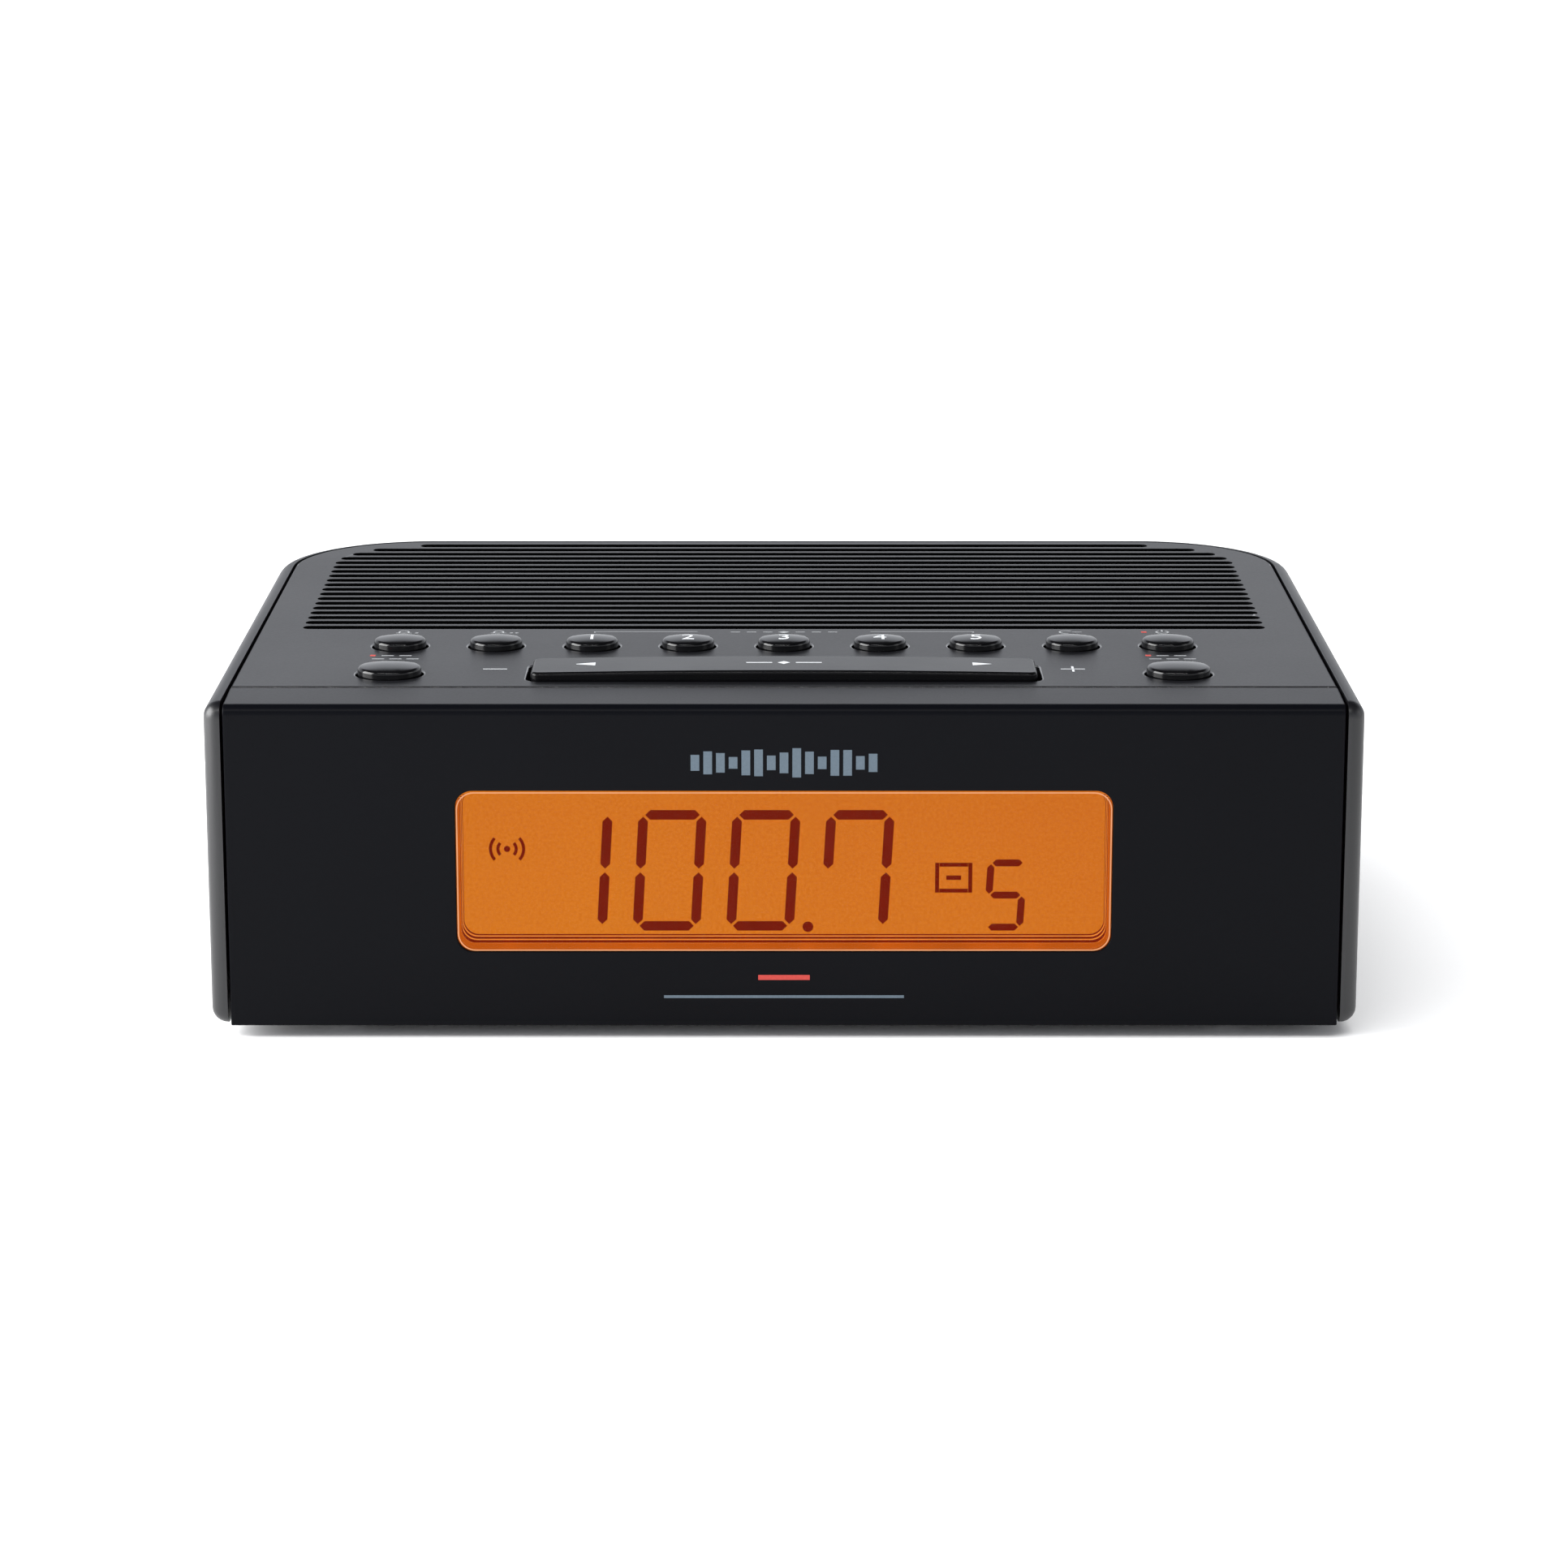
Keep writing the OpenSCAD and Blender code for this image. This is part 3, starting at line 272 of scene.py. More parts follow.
def tinted(shade, factor):
    return tuple(channel * factor for channel in shade)


def moulded(name, shade, rough, grain=2200.0, depth=0.012, specular=0.5, spread=0.06):
    """Injection-moulded plastic: fine spark-eroded grain, and a slow drift in gloss and shade."""
    finish = Finish(name)
    fine = finish.noise(grain, 2.0, 0.55)
    slow = finish.noise(28.0, 3.0, 0.5)
    base = finish.blend(slow, tinted(shade, 0.86), tinted(shade, 1.16))
    gloss = rough - spread + slow * spread + fine * spread
    return finish.use(Base_Color=base, Roughness=gloss.clipped(),
                      Normal=finish.bump(fine, depth * MM), Specular_IOR_Level=specular)


def polished(name, shade, rough, specular=0.5, coat=0.35, coat_rough=0.06):
    """Polished plastic: faint orange peel and a trace of dust in the gloss."""
    finish = Finish(name)
    peel = finish.noise(420.0, 1.0, 0.4)
    haze = finish.noise(90.0, 4.0, 0.6)
    base = finish.blend(haze, tinted(shade, 0.85), tinted(shade, 1.3))
    gloss = rough + haze * 0.08 - 0.03
    return finish.use(Base_Color=base, Roughness=gloss.clipped(),
                      Normal=finish.bump(peel, 0.004 * MM), Specular_IOR_Level=specular,
                      Coat_Weight=coat, Coat_Roughness=coat_rough)


def rubber(name, shade, rough=0.75):
    """Soft rubber: matt, with a dusty bloom and a coarse skin."""
    finish = Finish(name)
    skin = finish.noise(900.0, 3.0, 0.6)
    bloom = finish.noise(120.0, 4.0, 0.6)
    base = finish.blend(bloom, shade, tinted(shade, 1.9))
    gloss = rough - 0.1 + bloom * 0.2
    return finish.use(Base_Color=base, Roughness=gloss.clipped(),
                      Normal=finish.bump(skin, 0.03 * MM), Specular_IOR_Level=0.3)


def metal(name, shade, rough):
    """Plated or ground metal: fine grain in the gloss, and a faint stain."""
    finish = Finish(name)
    grain = finish.noise(1500.0, 2.0, 0.6)
    stain = finish.noise(160.0, 4.0, 0.6)
    base = finish.blend(stain, tinted(shade, 0.8), shade)
    gloss = rough + grain * 0.16 - 0.05
    return finish.use(Base_Color=base, Roughness=gloss.clipped(), Metallic=1.0,
                      Normal=finish.bump(grain, 0.004 * MM))


def felt(name, shade):
    """Black grille felt: matted fibres."""
    finish = Finish(name)
    fibre = finish.noise(1800.0, 6.0, 0.75)
    base = finish.blend(fibre, tinted(shade, 0.5), tinted(shade, 1.6))
    return finish.use(Base_Color=base, Roughness=0.95, Specular_IOR_Level=0.1,
                      Normal=finish.bump(fibre, 0.12 * MM))


def circuit_board(name, shade):
    """Solder mask over copper: lighter tracks on a square grid, and glossy lacquer."""
    finish = Finish(name)
    cells = finish.add("ShaderNodeTexBrick", None,
                       {"Vector": finish.place(), "Color1": (0, 0, 0), "Color2": (0.35,) * 3,
                        "Mortar": (1, 1, 1), "Scale": 130.0, "Mortar Size": 0.035,
                        "Brick Width": 0.9, "Row Height": 0.3}, "Color")
    base = finish.blend(cells, shade, tinted(shade, 2.3))
    return finish.use(Base_Color=base, Roughness=0.35,
                      Normal=finish.bump(cells, 0.02 * MM), Coat_Weight=0.3)


def paper(name, shade):
    """Pressed speaker paper: pulp fibres, dark and dull."""
    finish = Finish(name)
    pulp = finish.noise(700.0, 6.0, 0.7)
    base = finish.blend(pulp, tinted(shade, 0.6), tinted(shade, 1.5))
    return finish.use(Base_Color=base, Roughness=0.85, Normal=finish.bump(pulp, 0.08 * MM))


def ink(name, shade):
    """Pad-printed ink: slightly uneven cover."""
    finish = Finish(name)
    cover = finish.noise(2600.0, 3.0, 0.6)
    base = finish.blend(cover, tinted(shade, 0.72), tinted(shade, 1.12))
    return finish.use(Base_Color=base, Roughness=0.5, Specular_IOR_Level=0.3)


def lens_plastic(name):
    """Clear window: water-white acrylic with a faint surface ripple."""
    finish = Finish(name)
    ripple = finish.noise(60.0, 1.0, 0.4)
    return finish.use(Base_Color=(1.0, 0.97, 0.93), Roughness=0.02, IOR=1.08,
                      Transmission_Weight=1.0, Normal=finish.bump(ripple, 0.0015 * MM))


def backlight(name, bright, dim, low, high):
    """Glowing amber display: brighter towards its lamps, with the diffuser's fine sparkle."""
    finish = Finish(name)
    across = finish.add("ShaderNodeSeparateXYZ", None, {0: finish.place()}, "X")
    up = finish.add("ShaderNodeSeparateXYZ", None, {0: finish.place()}, "Z")
    along = (across - low.x) * (1 / (high.x - low.x))
    rise = (up - low.z) * (1 / (high.z - low.z))
    cloud = finish.noise(45.0, 2.0, 0.5)
    grain = finish.noise(2000.0, 3.0, 0.7)
    side = (along - 0.5).math("ABSOLUTE") * 2.0
    brim = (rise - 0.5).math("ABSOLUTE") * 2.0
    rim = (side.math("POWER", 26.0) + brim.math("POWER", 9.0) * 0.8).clipped()
    fade = (along * 0.45 + rise * 0.35 + cloud * 0.4 - 0.1).clipped()
    glow = finish.blend(rim * 0.55, finish.blend(fade, bright, dim), (0.5, 0.08, 0.006))
    sparkle = finish.blend((grain * 3.6 - 1.3).clipped(), tinted(dim, 0.82), (0.95, 0.4, 0.05))
    lit = finish.blend(0.19, glow, sparkle)
    return finish.use(Base_Color=(0.01, 0.003, 0.0), Roughness=0.6, Emission_Color=lit,
                      Emission_Strength=1.0, Specular_IOR_Level=0.0)


def lit_plastic(name, shade, level):
    """Plastic that the backlight shines through; also the glow of the painted highlight and shade
    lines round the window.
    """
    finish = Finish(name)
    cloud = finish.noise(160.0, 2.0, 0.5)
    glow = finish.blend(cloud, tinted(shade, 0.6), shade)
    return finish.use(Base_Color=tinted(shade, 0.25), Roughness=0.4, Emission_Color=glow,
                      Emission_Strength=level, Specular_IOR_Level=0.05)


# ---------- mesh helpers ----------


def dress(piece, material, body):
    """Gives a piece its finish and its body."""
    piece.data.materials.clear()
    piece.data.materials.append(material)
    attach(piece, body)
    return piece


def piece_from(bm, name):
    """A new object at the origin from a bmesh, smooth shaded, with its hard edges kept."""
    mesh = bpy.data.meshes.new(name)
    bm.to_mesh(mesh)
    bm.free()
    mesh.polygons.foreach_set("use_smooth", [True] * len(mesh.polygons))
    mesh.set_sharp_from_angle(angle=CREASE)
    piece = bpy.data.objects.new(name, mesh)
    bpy.context.scene.collection.objects.link(piece)
    return piece


def add_finish(piece, material, wanted):
    """Gives the faces that satisfy wanted, by their middle and normal, another finish."""
    piece.data.materials.append(material)
    place = len(piece.data.materials) - 1
    for face in piece.data.polygons:
        if wanted(face.center, face.normal):
            face.material_index = place


def merged_copy(node):
    """A bmesh copy of a CAD node with its triangles joined and its flat faces whole."""
    bm = bmesh.new()
    bm.from_mesh(NODES[node].data)
    bmesh.ops.remove_doubles(bm, verts=bm.verts, dist=WELD)
    bmesh.ops.dissolve_limit(bm, angle_limit=math.radians(0.3), verts=bm.verts, edges=bm.edges,
                             use_dissolve_boundaries=False)
    return bm


def hard_edges(bm, wanted, angle=35.0):
    """The edges sharper than angle whose two ends both satisfy wanted."""
    limit = math.radians(angle)
    return [e for e in bm.edges
            if len(e.link_faces) == 2 and e.calc_face_angle(0) > limit
            and all(wanted(v.co) for v in e.verts)]


def round_edges(bm, edges, width, segments=3):
    bmesh.ops.bevel(bm, geom=edges, offset=width, offset_type="OFFSET", segments=segments,
                    profile=0.5, affect="EDGES", clamp_overlap=False, material=-1)


def steady_normals(piece):
    """Keeps broad faces flat beside their rounded edges."""
    modifier = piece.modifiers.new("Flat faces", "WEIGHTED_NORMAL")
    modifier.keep_sharp = True
    modifier.weight = 80
    return piece


def finish_node(node, material):
    """Gives a CAD node its finish, and smooth shading over its curved faces."""
    piece = NODES[node]
    piece.data.materials.clear()
    piece.data.materials.append(material)
    piece.data.polygons.foreach_set("use_smooth", [True] * len(piece.data.polygons))
    weld = piece.modifiers.new("Join triangles", "WELD")
    weld.merge_threshold = WELD
    split = piece.modifiers.new("Hard edges", "EDGE_SPLIT")
    split.split_angle = CREASE
    return piece


def thicken(bm, thickness):
    """Turns flat faces into a solid that rises from them."""
    bmesh.ops.recalc_face_normals(bm, faces=bm.faces)
    for face in bm.faces:
        if face.normal.z < 0:
            face.normal_flip()
    raised = bmesh.ops.extrude_face_region(bm, geom=bm.faces[:], use_keep_orig=True)
    lifted = [v for v in raised["geom"] if isinstance(v, bmesh.types.BMVert)]
    bmesh.ops.translate(bm, verts=lifted, vec=(0, 0, thickness))
    bmesh.ops.recalc_face_normals(bm, faces=bm.faces)


def settle(bm, node):
    """Bends a flat print down onto a node's upper face."""
    longest = 0.7 * MM
    bmesh.ops.triangulate(bm, faces=bm.faces)
    bmesh.ops.subdivide_edges(bm, edges=[e for e in bm.edges if e.calc_length() > longest],
                              cuts=2, use_grid_fill=True)
    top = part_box(node)[1].z
    tree = BVHTree.FromPolygons([v.co for v in NODES[node].data.vertices],
                                [tuple(p.vertices) for p in NODES[node].data.polygons])
    for vert in bm.verts:
        spot = tree.ray_cast((vert.co.x, vert.co.y, top + 10 * MM), (0, 0, -1))[0]
        if spot is not None:
            vert.co.z += spot.z - top


class Stencil:
    """Flat shapes drawn in millimetres, X to the right and Y up, that become one thin solid."""

    def __init__(self):
        self.bm = bmesh.new()

    def patch(self, points):
        self.bm.faces.new([self.bm.verts.new((x * MM, y * MM, 0)) for x, y in points])

    def bar(self, x, y, w, h):
        self.patch([(x - w / 2, y - h / 2), (x + w / 2, y - h / 2),
                    (x + w / 2, y + h / 2), (x - w / 2, y + h / 2)])

    def disc(self, x, y, radius, steps=32):
        bmesh.ops.create_circle(self.bm, cap_ends=True, radius=radius * MM, segments=steps,
                                matrix=Matrix.Translation((x * MM, y * MM, 0)))

    def arc(self, x, y, radius, width, start=0.0, sweep=360.0, steps=48):
        """A ring, or part of one, from the start angle anticlockwise."""
        across, up = math.cos(math.radians(start)), math.sin(math.radians(start))
        ends = [self.bm.verts.new(((x + r * across) * MM, (y + r * up) * MM, 0))
                for r in (radius - width / 2, radius + width / 2)]
        edge = self.bm.edges.new(ends)
        bmesh.ops.spin(self.bm, geom=[*ends, edge], cent=(x * MM, y * MM, 0), axis=(0, 0, 1),
                       angle=math.radians(sweep), steps=steps, use_merge=sweep >= 360)

    def figures(self, text, size):
        """Plain numerals, centred on the origin."""
        curve = bpy.data.curves.new("numeral", "FONT")
        curve.body = text
        curve.size = size * MM
        curve.align_x = "CENTER"
        curve.align_y = "CENTER"
        curve.resolution_u = 6
        holder = bpy.data.objects.new("numeral", curve)
        bpy.context.scene.collection.objects.link(holder)
        shape = bpy.data.meshes.new_from_object(
            holder.evaluated_get(bpy.context.evaluated_depsgraph_get()))
        self.bm.from_mesh(shape)
        bpy.data.objects.remove(holder)
        bpy.data.curves.remove(curve)
        bpy.data.meshes.remove(shape)

    def cut(self, name, place, thickness, material, body, slot, over=None):
        """Thickens the shapes, moves them to their place and makes the piece.

        A print over a node is first cut fine, and then follows the node's upper face.
        """
        bm = self.bm
        bmesh.ops.remove_doubles(bm, verts=bm.verts, dist=0.0005 * MM)
        thicken(bm, thickness)
        bmesh.ops.transform(bm, matrix=place, verts=bm.verts)
        if over:
            settle(bm, over)
        return dress(piece_from(bm, name), material, body)


def on_top(x, y, z):
    """A stencil's place on an upward face, read from the front."""
    return Matrix.Translation((x, y, z))


def on_front(x, y, z):
    """A stencil's place on a face that looks forward."""
    return Matrix.Translation((x, y, z)) @ Matrix.Rotation(math.radians(90), 4, "X")


# ---------- operators ----------


class RADIO_OT_stage(bpy.types.Operator):
    """Adds the pale floor, the soft lights and the camera"""

    bl_idname = "radio.stage"
    bl_label = "Studio"
    bl_options = {"REGISTER", "UNDO"}

    def execute(self, context):
        scene = context.scene
        look = scene.radio_stage
        scene.view_settings.view_transform = "Standard"
        self.surround(scene, look.sky_level)
        self.floor(look.floor_colour)
        self.lamps()
        self.camera(scene, look)
        return {"FINISHED"}

    @staticmethod
    def surround(scene, level):
        """A studio that is bright round the horizon and dark overhead, read by height."""
        world = scene.world or bpy.data.worlds.new("Studio")
        scene.world = world
        world.use_nodes = True
        nodes, links = world.node_tree.nodes, world.node_tree.links
        direction = nodes.new("ShaderNodeTexCoord")
        parts = nodes.new("ShaderNodeSeparateXYZ")
        ramp = nodes.new("ShaderNodeValToRGB")
        links.new(direction.outputs["Generated"], parts.inputs[0])
        links.new(parts.outputs["Z"], ramp.inputs["Fac"])
        links.new(ramp.outputs["Color"], nodes["Background"].inputs["Color"])
        Finish.set_stops(ramp.color_ramp, [
            (0.0, (0.93, 0.955, 1.0)), (0.4, (0.9, 0.93, 1.0)),
            (0.54, (0.07, 0.07, 0.075)), (1.0, (0.03, 0.03, 0.032))])
        nodes["Background"].inputs["Strength"].default_value = level

    @staticmethod
    def floor(shade):
        bm = bmesh.new()
        bmesh.ops.create_grid(bm, x_segments=8, y_segments=8, size=9.0)
        piece = piece_from(bm, "studio_floor")
        finish = Finish("studio paper")
        tooth = finish.noise(900.0, 3.0, 0.6)
        base = finish.blend(tooth, tinted(shade, 0.985), tuple(shade))
        finish.use(Base_Color=base, Roughness=0.95, Specular_IOR_Level=0.05,
                   Normal=finish.bump(tooth, 0.02 * MM))
        piece.data.materials.append(finish.material)

    @staticmethod
    def lamps():
        """A very soft overhead light that leaves no reflection, and three softboxes."""
        overhead = bpy.data.lights.new("overhead", "SUN")
        overhead.energy = 3.3
        overhead.angle = math.radians(100)
        holder = bpy.data.objects.new("overhead", overhead)
        holder.rotation_euler = (math.radians(-12), math.radians(-10), 0)
        holder.visible_glossy = False
        bpy.context.scene.collection.objects.link(holder)
        middle_of_radio = Vector((0, 0, 0.03))
        # Name, place, width and height, and power in watts
        boxes = [("left_softbox", (-1.0, -0.2, 0.42), (0.9, 0.75), 26.0),
                 ("right_softbox", (1.2, -0.2, 0.5), (0.5, 0.6), 1.0),
                 ("front_softbox", (-0.12, -0.75, 0.95), (1.1, 0.02), 4.0)]
        for name, place, (width, height), power in boxes:
            lamp = bpy.data.lights.new(name, "AREA")
            lamp.shape = "RECTANGLE"
            lamp.size = width
            lamp.size_y = height
            lamp.energy = power
            holder = bpy.data.objects.new(name, lamp)
            holder.location = place
            aim = middle_of_radio - holder.location
            holder.rotation_euler = aim.to_track_quat("-Z", "Y").to_euler()
            bpy.context.scene.collection.objects.link(holder)

    @staticmethod
    def camera(scene, look):
        lens = bpy.data.cameras.new("camera")
        lens.lens = look.focal_length
        lens.sensor_width = 36
        lens.clip_start = 0.01
        holder = bpy.data.objects.new("camera", lens)
        holder.location = (0, -look.camera_distance, look.camera_height)
        holder.rotation_euler = (math.radians(90) - look.camera_pitch, 0, 0)
        scene.collection.objects.link(holder)
        scene.camera = holder


class RADIO_OT_cabinet(bpy.types.Operator):
    """Rounds the panels' edges and gives the cabinet its plastics"""

    bl_idname = "radio.cabinet"
    bl_label = "Cabinet"
    bl_options = {"REGISTER", "UNDO"}

    def execute(self, context):
        look = context.scene.radio_cabinet
        shell = moulded("satin shell", look.shell_colour, look.shell_rough)
        front = moulded("smooth front", look.front_colour, 0.34, grain=3200.0, depth=0.004,
                        specular=0.06, spread=0.03)
        # Painted shade: a near-black finish for the slots' walls and the seam between the panels,
        # where shade falls.
        shade = moulded("painted slot shade", tinted(look.shell_colour, 0.1), 0.7, specular=0.02)
        self.top(look, shell, shade)
        self.front(look, front, shell, shade)
        finish_node("side_back_shell", shell)
        finish_node("grille_cloth", felt("grille felt", (0.001, 0.001, 0.001)))
        return {"FINISHED"}

    @staticmethod
    def top(look, material, shade):
        """The slotted panel: small roundings on the ribs, larger ones round the keys' wells."""
        low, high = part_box("top_panel")
        wells_y = middle("key_preset_3").y
        grille_y = wells_y + 12 * MM
        first_slot_y, slot_pitch = wells_y + 16.6 * MM, 4.5 * MM
        rear_wall, side_margin, last_rib = 0.5 * MM, 3 * MM, 6 * MM
        upper = high.z - SKIN
        rib_side = upper - 0.3 * look.rib_round

        def grille(spot):
            return grille_y < spot.y < high.y - rear_wall and abs(spot.x) < high.x - side_margin

        def upper_edge(spot):
            return spot.z > upper

        def rib_edge(spot):
            return upper_edge(spot) and grille(spot)

        def rib_top(spot):
            across = (spot.y - first_slot_y) / slot_pitch % 1.0
            return first_slot_y < spot.y < high.y - last_rib and 0.3 < across < 0.7 \
                and spot.z > rib_side

        bm = merged_copy("top_panel")
        round_edges(bm, hard_edges(bm, rib_edge), look.rib_round, 2)
        round_edges(bm, [e for e in hard_edges(bm, upper_edge, 60)
                         if not all(grille(v.co) for v in e.verts)], look.well_round, 4)
        piece = steady_normals(piece_from(bm, "top_cover"))
        dress(piece, material, body_of("top_panel"))
        # Painted shade: the seam's front face and the slots' walls and floors take the near-black
        # finish.
        add_finish(piece, shade, lambda spot, normal: spot.y < low.y + 0.1 * MM
                   or grille(spot) and spot.z < rib_side)
        burnished = polished("burnished edge", look.shell_colour, look.shell_rough,
                             coat=1.0, coat_rough=0.12)
        add_finish(piece, burnished, lambda spot, normal: spot.z > upper - look.well_round
                   and (rib_top(spot) or spot.y < grille_y and 0.25 < normal.z < 0.985))
        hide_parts("top_panel")

    @staticmethod
    def front(look, material, shoulder, shade):
        """The face, its satin shoulder, and painted shade on the side of the seam behind it."""
        low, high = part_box("front_panel")
        bm = merged_copy("front_panel")

        def outer(spot):
            return spot.y < low.y + SKIN or spot.z > high.z - 2.9 * MM or spot.z < low.z + SKIN

        round_edges(bm, hard_edges(bm, outer, 60), look.panel_round, 3)
        piece = steady_normals(piece_from(bm, "front_cover"))
        dress(piece, material, body_of("front_panel"))
        add_finish(piece, shoulder,
                   lambda spot, normal: spot.z > high.z - 2 * MM and normal.z > 0.97)
        # Painted shade: the seam's rear face takes the near-black finish.
        add_finish(piece, shade,
                   lambda spot, normal: spot.z > high.z - 3 * MM and normal.y > 0.9)
        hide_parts("front_panel")


class RADIO_OT_keys(bpy.types.Operator):
    """Polishes the keys and the tuning bar"""

    bl_idname = "radio.keys"
    bl_label = "Keys and tuning bar"
    bl_options = {"REGISTER", "UNDO"}

    def execute(self, context):
        look = context.scene.radio_cabinet
        gloss = polished("polished key", look.key_colour, look.key_rough, specular=0.25,
                         coat=0.14)
        for node in SMALL_KEYS + LARGE_KEYS:
            finish_node(node, gloss)
        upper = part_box("tuning_bar")[1].z - 1.2 * MM
        bm = merged_copy("tuning_bar")
        round_edges(bm, hard_edges(bm, lambda spot: spot.z > upper, 45), look.bar_round, 5)
        piece = steady_normals(piece_from(bm, "tuning_rocker"))
        bar = polished("polished bar", look.key_colour, look.key_rough + 0.12, specular=0.13,
                       coat=0.04)
        dress(piece, bar, body_of("tuning_bar"))
        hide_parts("tuning_bar")
        return {"FINISHED"}


class RADIO_OT_display(bpy.types.Operator):
    """Makes the lens, the amber backlight and the dark figures"""

    bl_idname = "radio.display"
    bl_label = "Display"
    bl_options = {"REGISTER", "UNDO"}

    # Segments that are dark in each figure: top, upper left, upper right, middle, lower left,
    # lower right, bottom
    LIT = {"0": "1110111", "1": "0010010", "5": "1101011", "7": "1110010"}

    def execute(self, context):
        look = context.scene.radio_display
        self.lens(context.scene.radio_cabinet.window_round)
        low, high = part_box("display_glass")
        amber = backlight("amber backlight", look.bright_amber, look.dim_amber, low, high)
        finish_node("display_glass", amber)
        finish_node("display_frame", lit_plastic("lit frame", (0.62, 0.13, 0.01), 0.9))
        finish_node("light_guide", lit_plastic("light guide", (0.9, 0.35, 0.06), 0.8))
        finish_node("backlight_leds", lit_plastic("lamp", (1.0, 0.45, 0.08), 2.0))
        finish_node("contact_strip", rubber("contact rubber", (0.55, 0.3, 0.28), 0.6))
        self.reveal()
        self.figures(look)
        return {"FINISHED"}

    def reveal(self):
        """Painted reflection lines: glowing stepped rings between the lens and the glass, dark and
        bright in turn, and a painted highlight round the lens's rim.
        """
        low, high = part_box("display_lens")
        flange = 2 * MM
        half_w, half_h = (high.x - low.x) / 2 - flange, (high.z - low.z) / 2 - flange
        glass_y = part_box("display_glass")[0].y
        # Painted reflections: glowing dark and bright rings stand in for the lines that the thick
        # lens's edges reflect.
        dark = lit_plastic("painted reflection shade", (0.2, 0.014, 0.003), 1.0)
        glow = lit_plastic("painted reflection highlight", (0.8, 0.24, 0.03), 1.0)
        # Insets at the sides, the top and the bottom, in mm, from the figures' field outwards
        contours = [(0.95, 0.72, 1.85), (0.85, 0.66, 1.62), (0.75, 0.6, 1.45), (0.66, 0.55, 1.1),
                    (0.58, 0.5, 0.92), (0.5, 0.45, 0.45)]
        for step, pair in enumerate(zip(contours, contours[1:])):
            self.ring(f"painted_reflection_line_{step + 1}", half_w, half_h, pair, (2.6, 2.6),
                      glass_y - (0.12 + 0.16 * step) * MM, 0.1, glow if step % 2 else dark,
                      "display_frame")
        # Painted highlight: a pale glowing ring on the lens's front bevel, in place of its
        # reflection of the bright surround.
        self.ring("painted_lens_highlight", half_w, half_h, [(0.1,) * 3, (0.32,) * 3], (3.1, 2.88),
                  low.y + SKIN, 0.02, lit_plastic("painted lens highlight", (0.8, 0.36, 0.17), 0.8),
                  "display_lens")

    @staticmethod
    def ring(name, half_w, half_h, insets, radii, y, thickness, material, node):
        """A thin ring between two rounded rectangles, whose insets and radii are in mm."""
        bm = bmesh.new()
        for (side, top, bottom), radius in zip(insets, radii):
            left, right = side * MM - half_w, half_w - side * MM
            low, high = bottom * MM - half_h, half_h - top * MM
            corners = [bm.verts.new((x, z, 0)) for x, z in ((left, low), (right, low),
                                                            (right, high), (left, high))]
            bm.faces.new(corners)
            bmesh.ops.bevel(bm, geom=corners, offset=radius * MM, offset_type="OFFSET",
                            segments=10, profile=0.5, affect="VERTICES", clamp_overlap=True,
                            material=-1)
            bmesh.ops.delete(bm, geom=bm.faces[:], context="FACES_ONLY")
        bmesh.ops.bridge_loops(bm, edges=bm.edges[:])
        thicken(bm, thickness * MM)
        bmesh.ops.transform(bm, matrix=on_front(0, y, middle("display_lens").z), verts=bm.verts)
        dress(piece_from(bm, name), material, body_of(node))

    @staticmethod
    def lens(width):
        """The clear window with a bevel round its front."""
        front_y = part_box("display_lens")[0].y + SKIN
        bm = merged_copy("display_lens")
        round_edges(bm, hard_edges(bm, lambda spot: spot.y < front_y, 60), width, 3)
        piece = steady_normals(piece_from(bm, "window_lens"))
        dress(piece, lens_plastic("clear lens"), body_of("display_lens"))
        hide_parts("display_lens")

    @staticmethod
    def segment(stencil, start, end, half, lean):
        """One mitred stroke between two points, leaned to the right by its height."""
        (x0, y0), (x1, y1) = start, end
        reach = math.hypot(x1 - x0, y1 - y0)
        along = ((x1 - x0) / reach, (y1 - y0) / reach)
        side = (-along[1], along[0])
        corners = [(0, 0), (half, half), (reach - half, half), (reach, 0), (reach - half, -half),
                   (half, -half)]
        points = [(x0 + a * along[0] + b * side[0], y0 + a * along[1] + b * side[1])
                  for a, b in corners]
        stencil.patch([(x + y * lean, y) for x, y in points])

    def digit(self, stencil, figure, left, width, height, stroke, lean):
        """A seven-segment figure whose lower left corner is at left and 0."""
        half = stroke / 2
        gap = stroke * 0.19
        x0, x1 = left + half, left + width - half
        y0, y1, y2 = half, height / 2, height - half
        strokes = [((x0, y2), (x1, y2)), ((x0, y1), (x0, y2)), ((x1, y1), (x1, y2)),
                   ((x0, y1), (x1, y1)), ((x0, y0), (x0, y1)), ((x1, y0), (x1, y1)),
                   ((x0, y0), (x1, y0))]
        for dark, (start, end) in zip(self.LIT[figure], strokes):
            if dark == "1":
                reach = math.hypot(end[0] - start[0], end[1] - start[1])
                dx, dy = (end[0] - start[0]) / reach * gap, (end[1] - start[1]) / reach * gap
                self.segment(stencil, (start[0] + dx, start[1] + dy),
                             (end[0] - dx, end[1] - dy), half, lean)

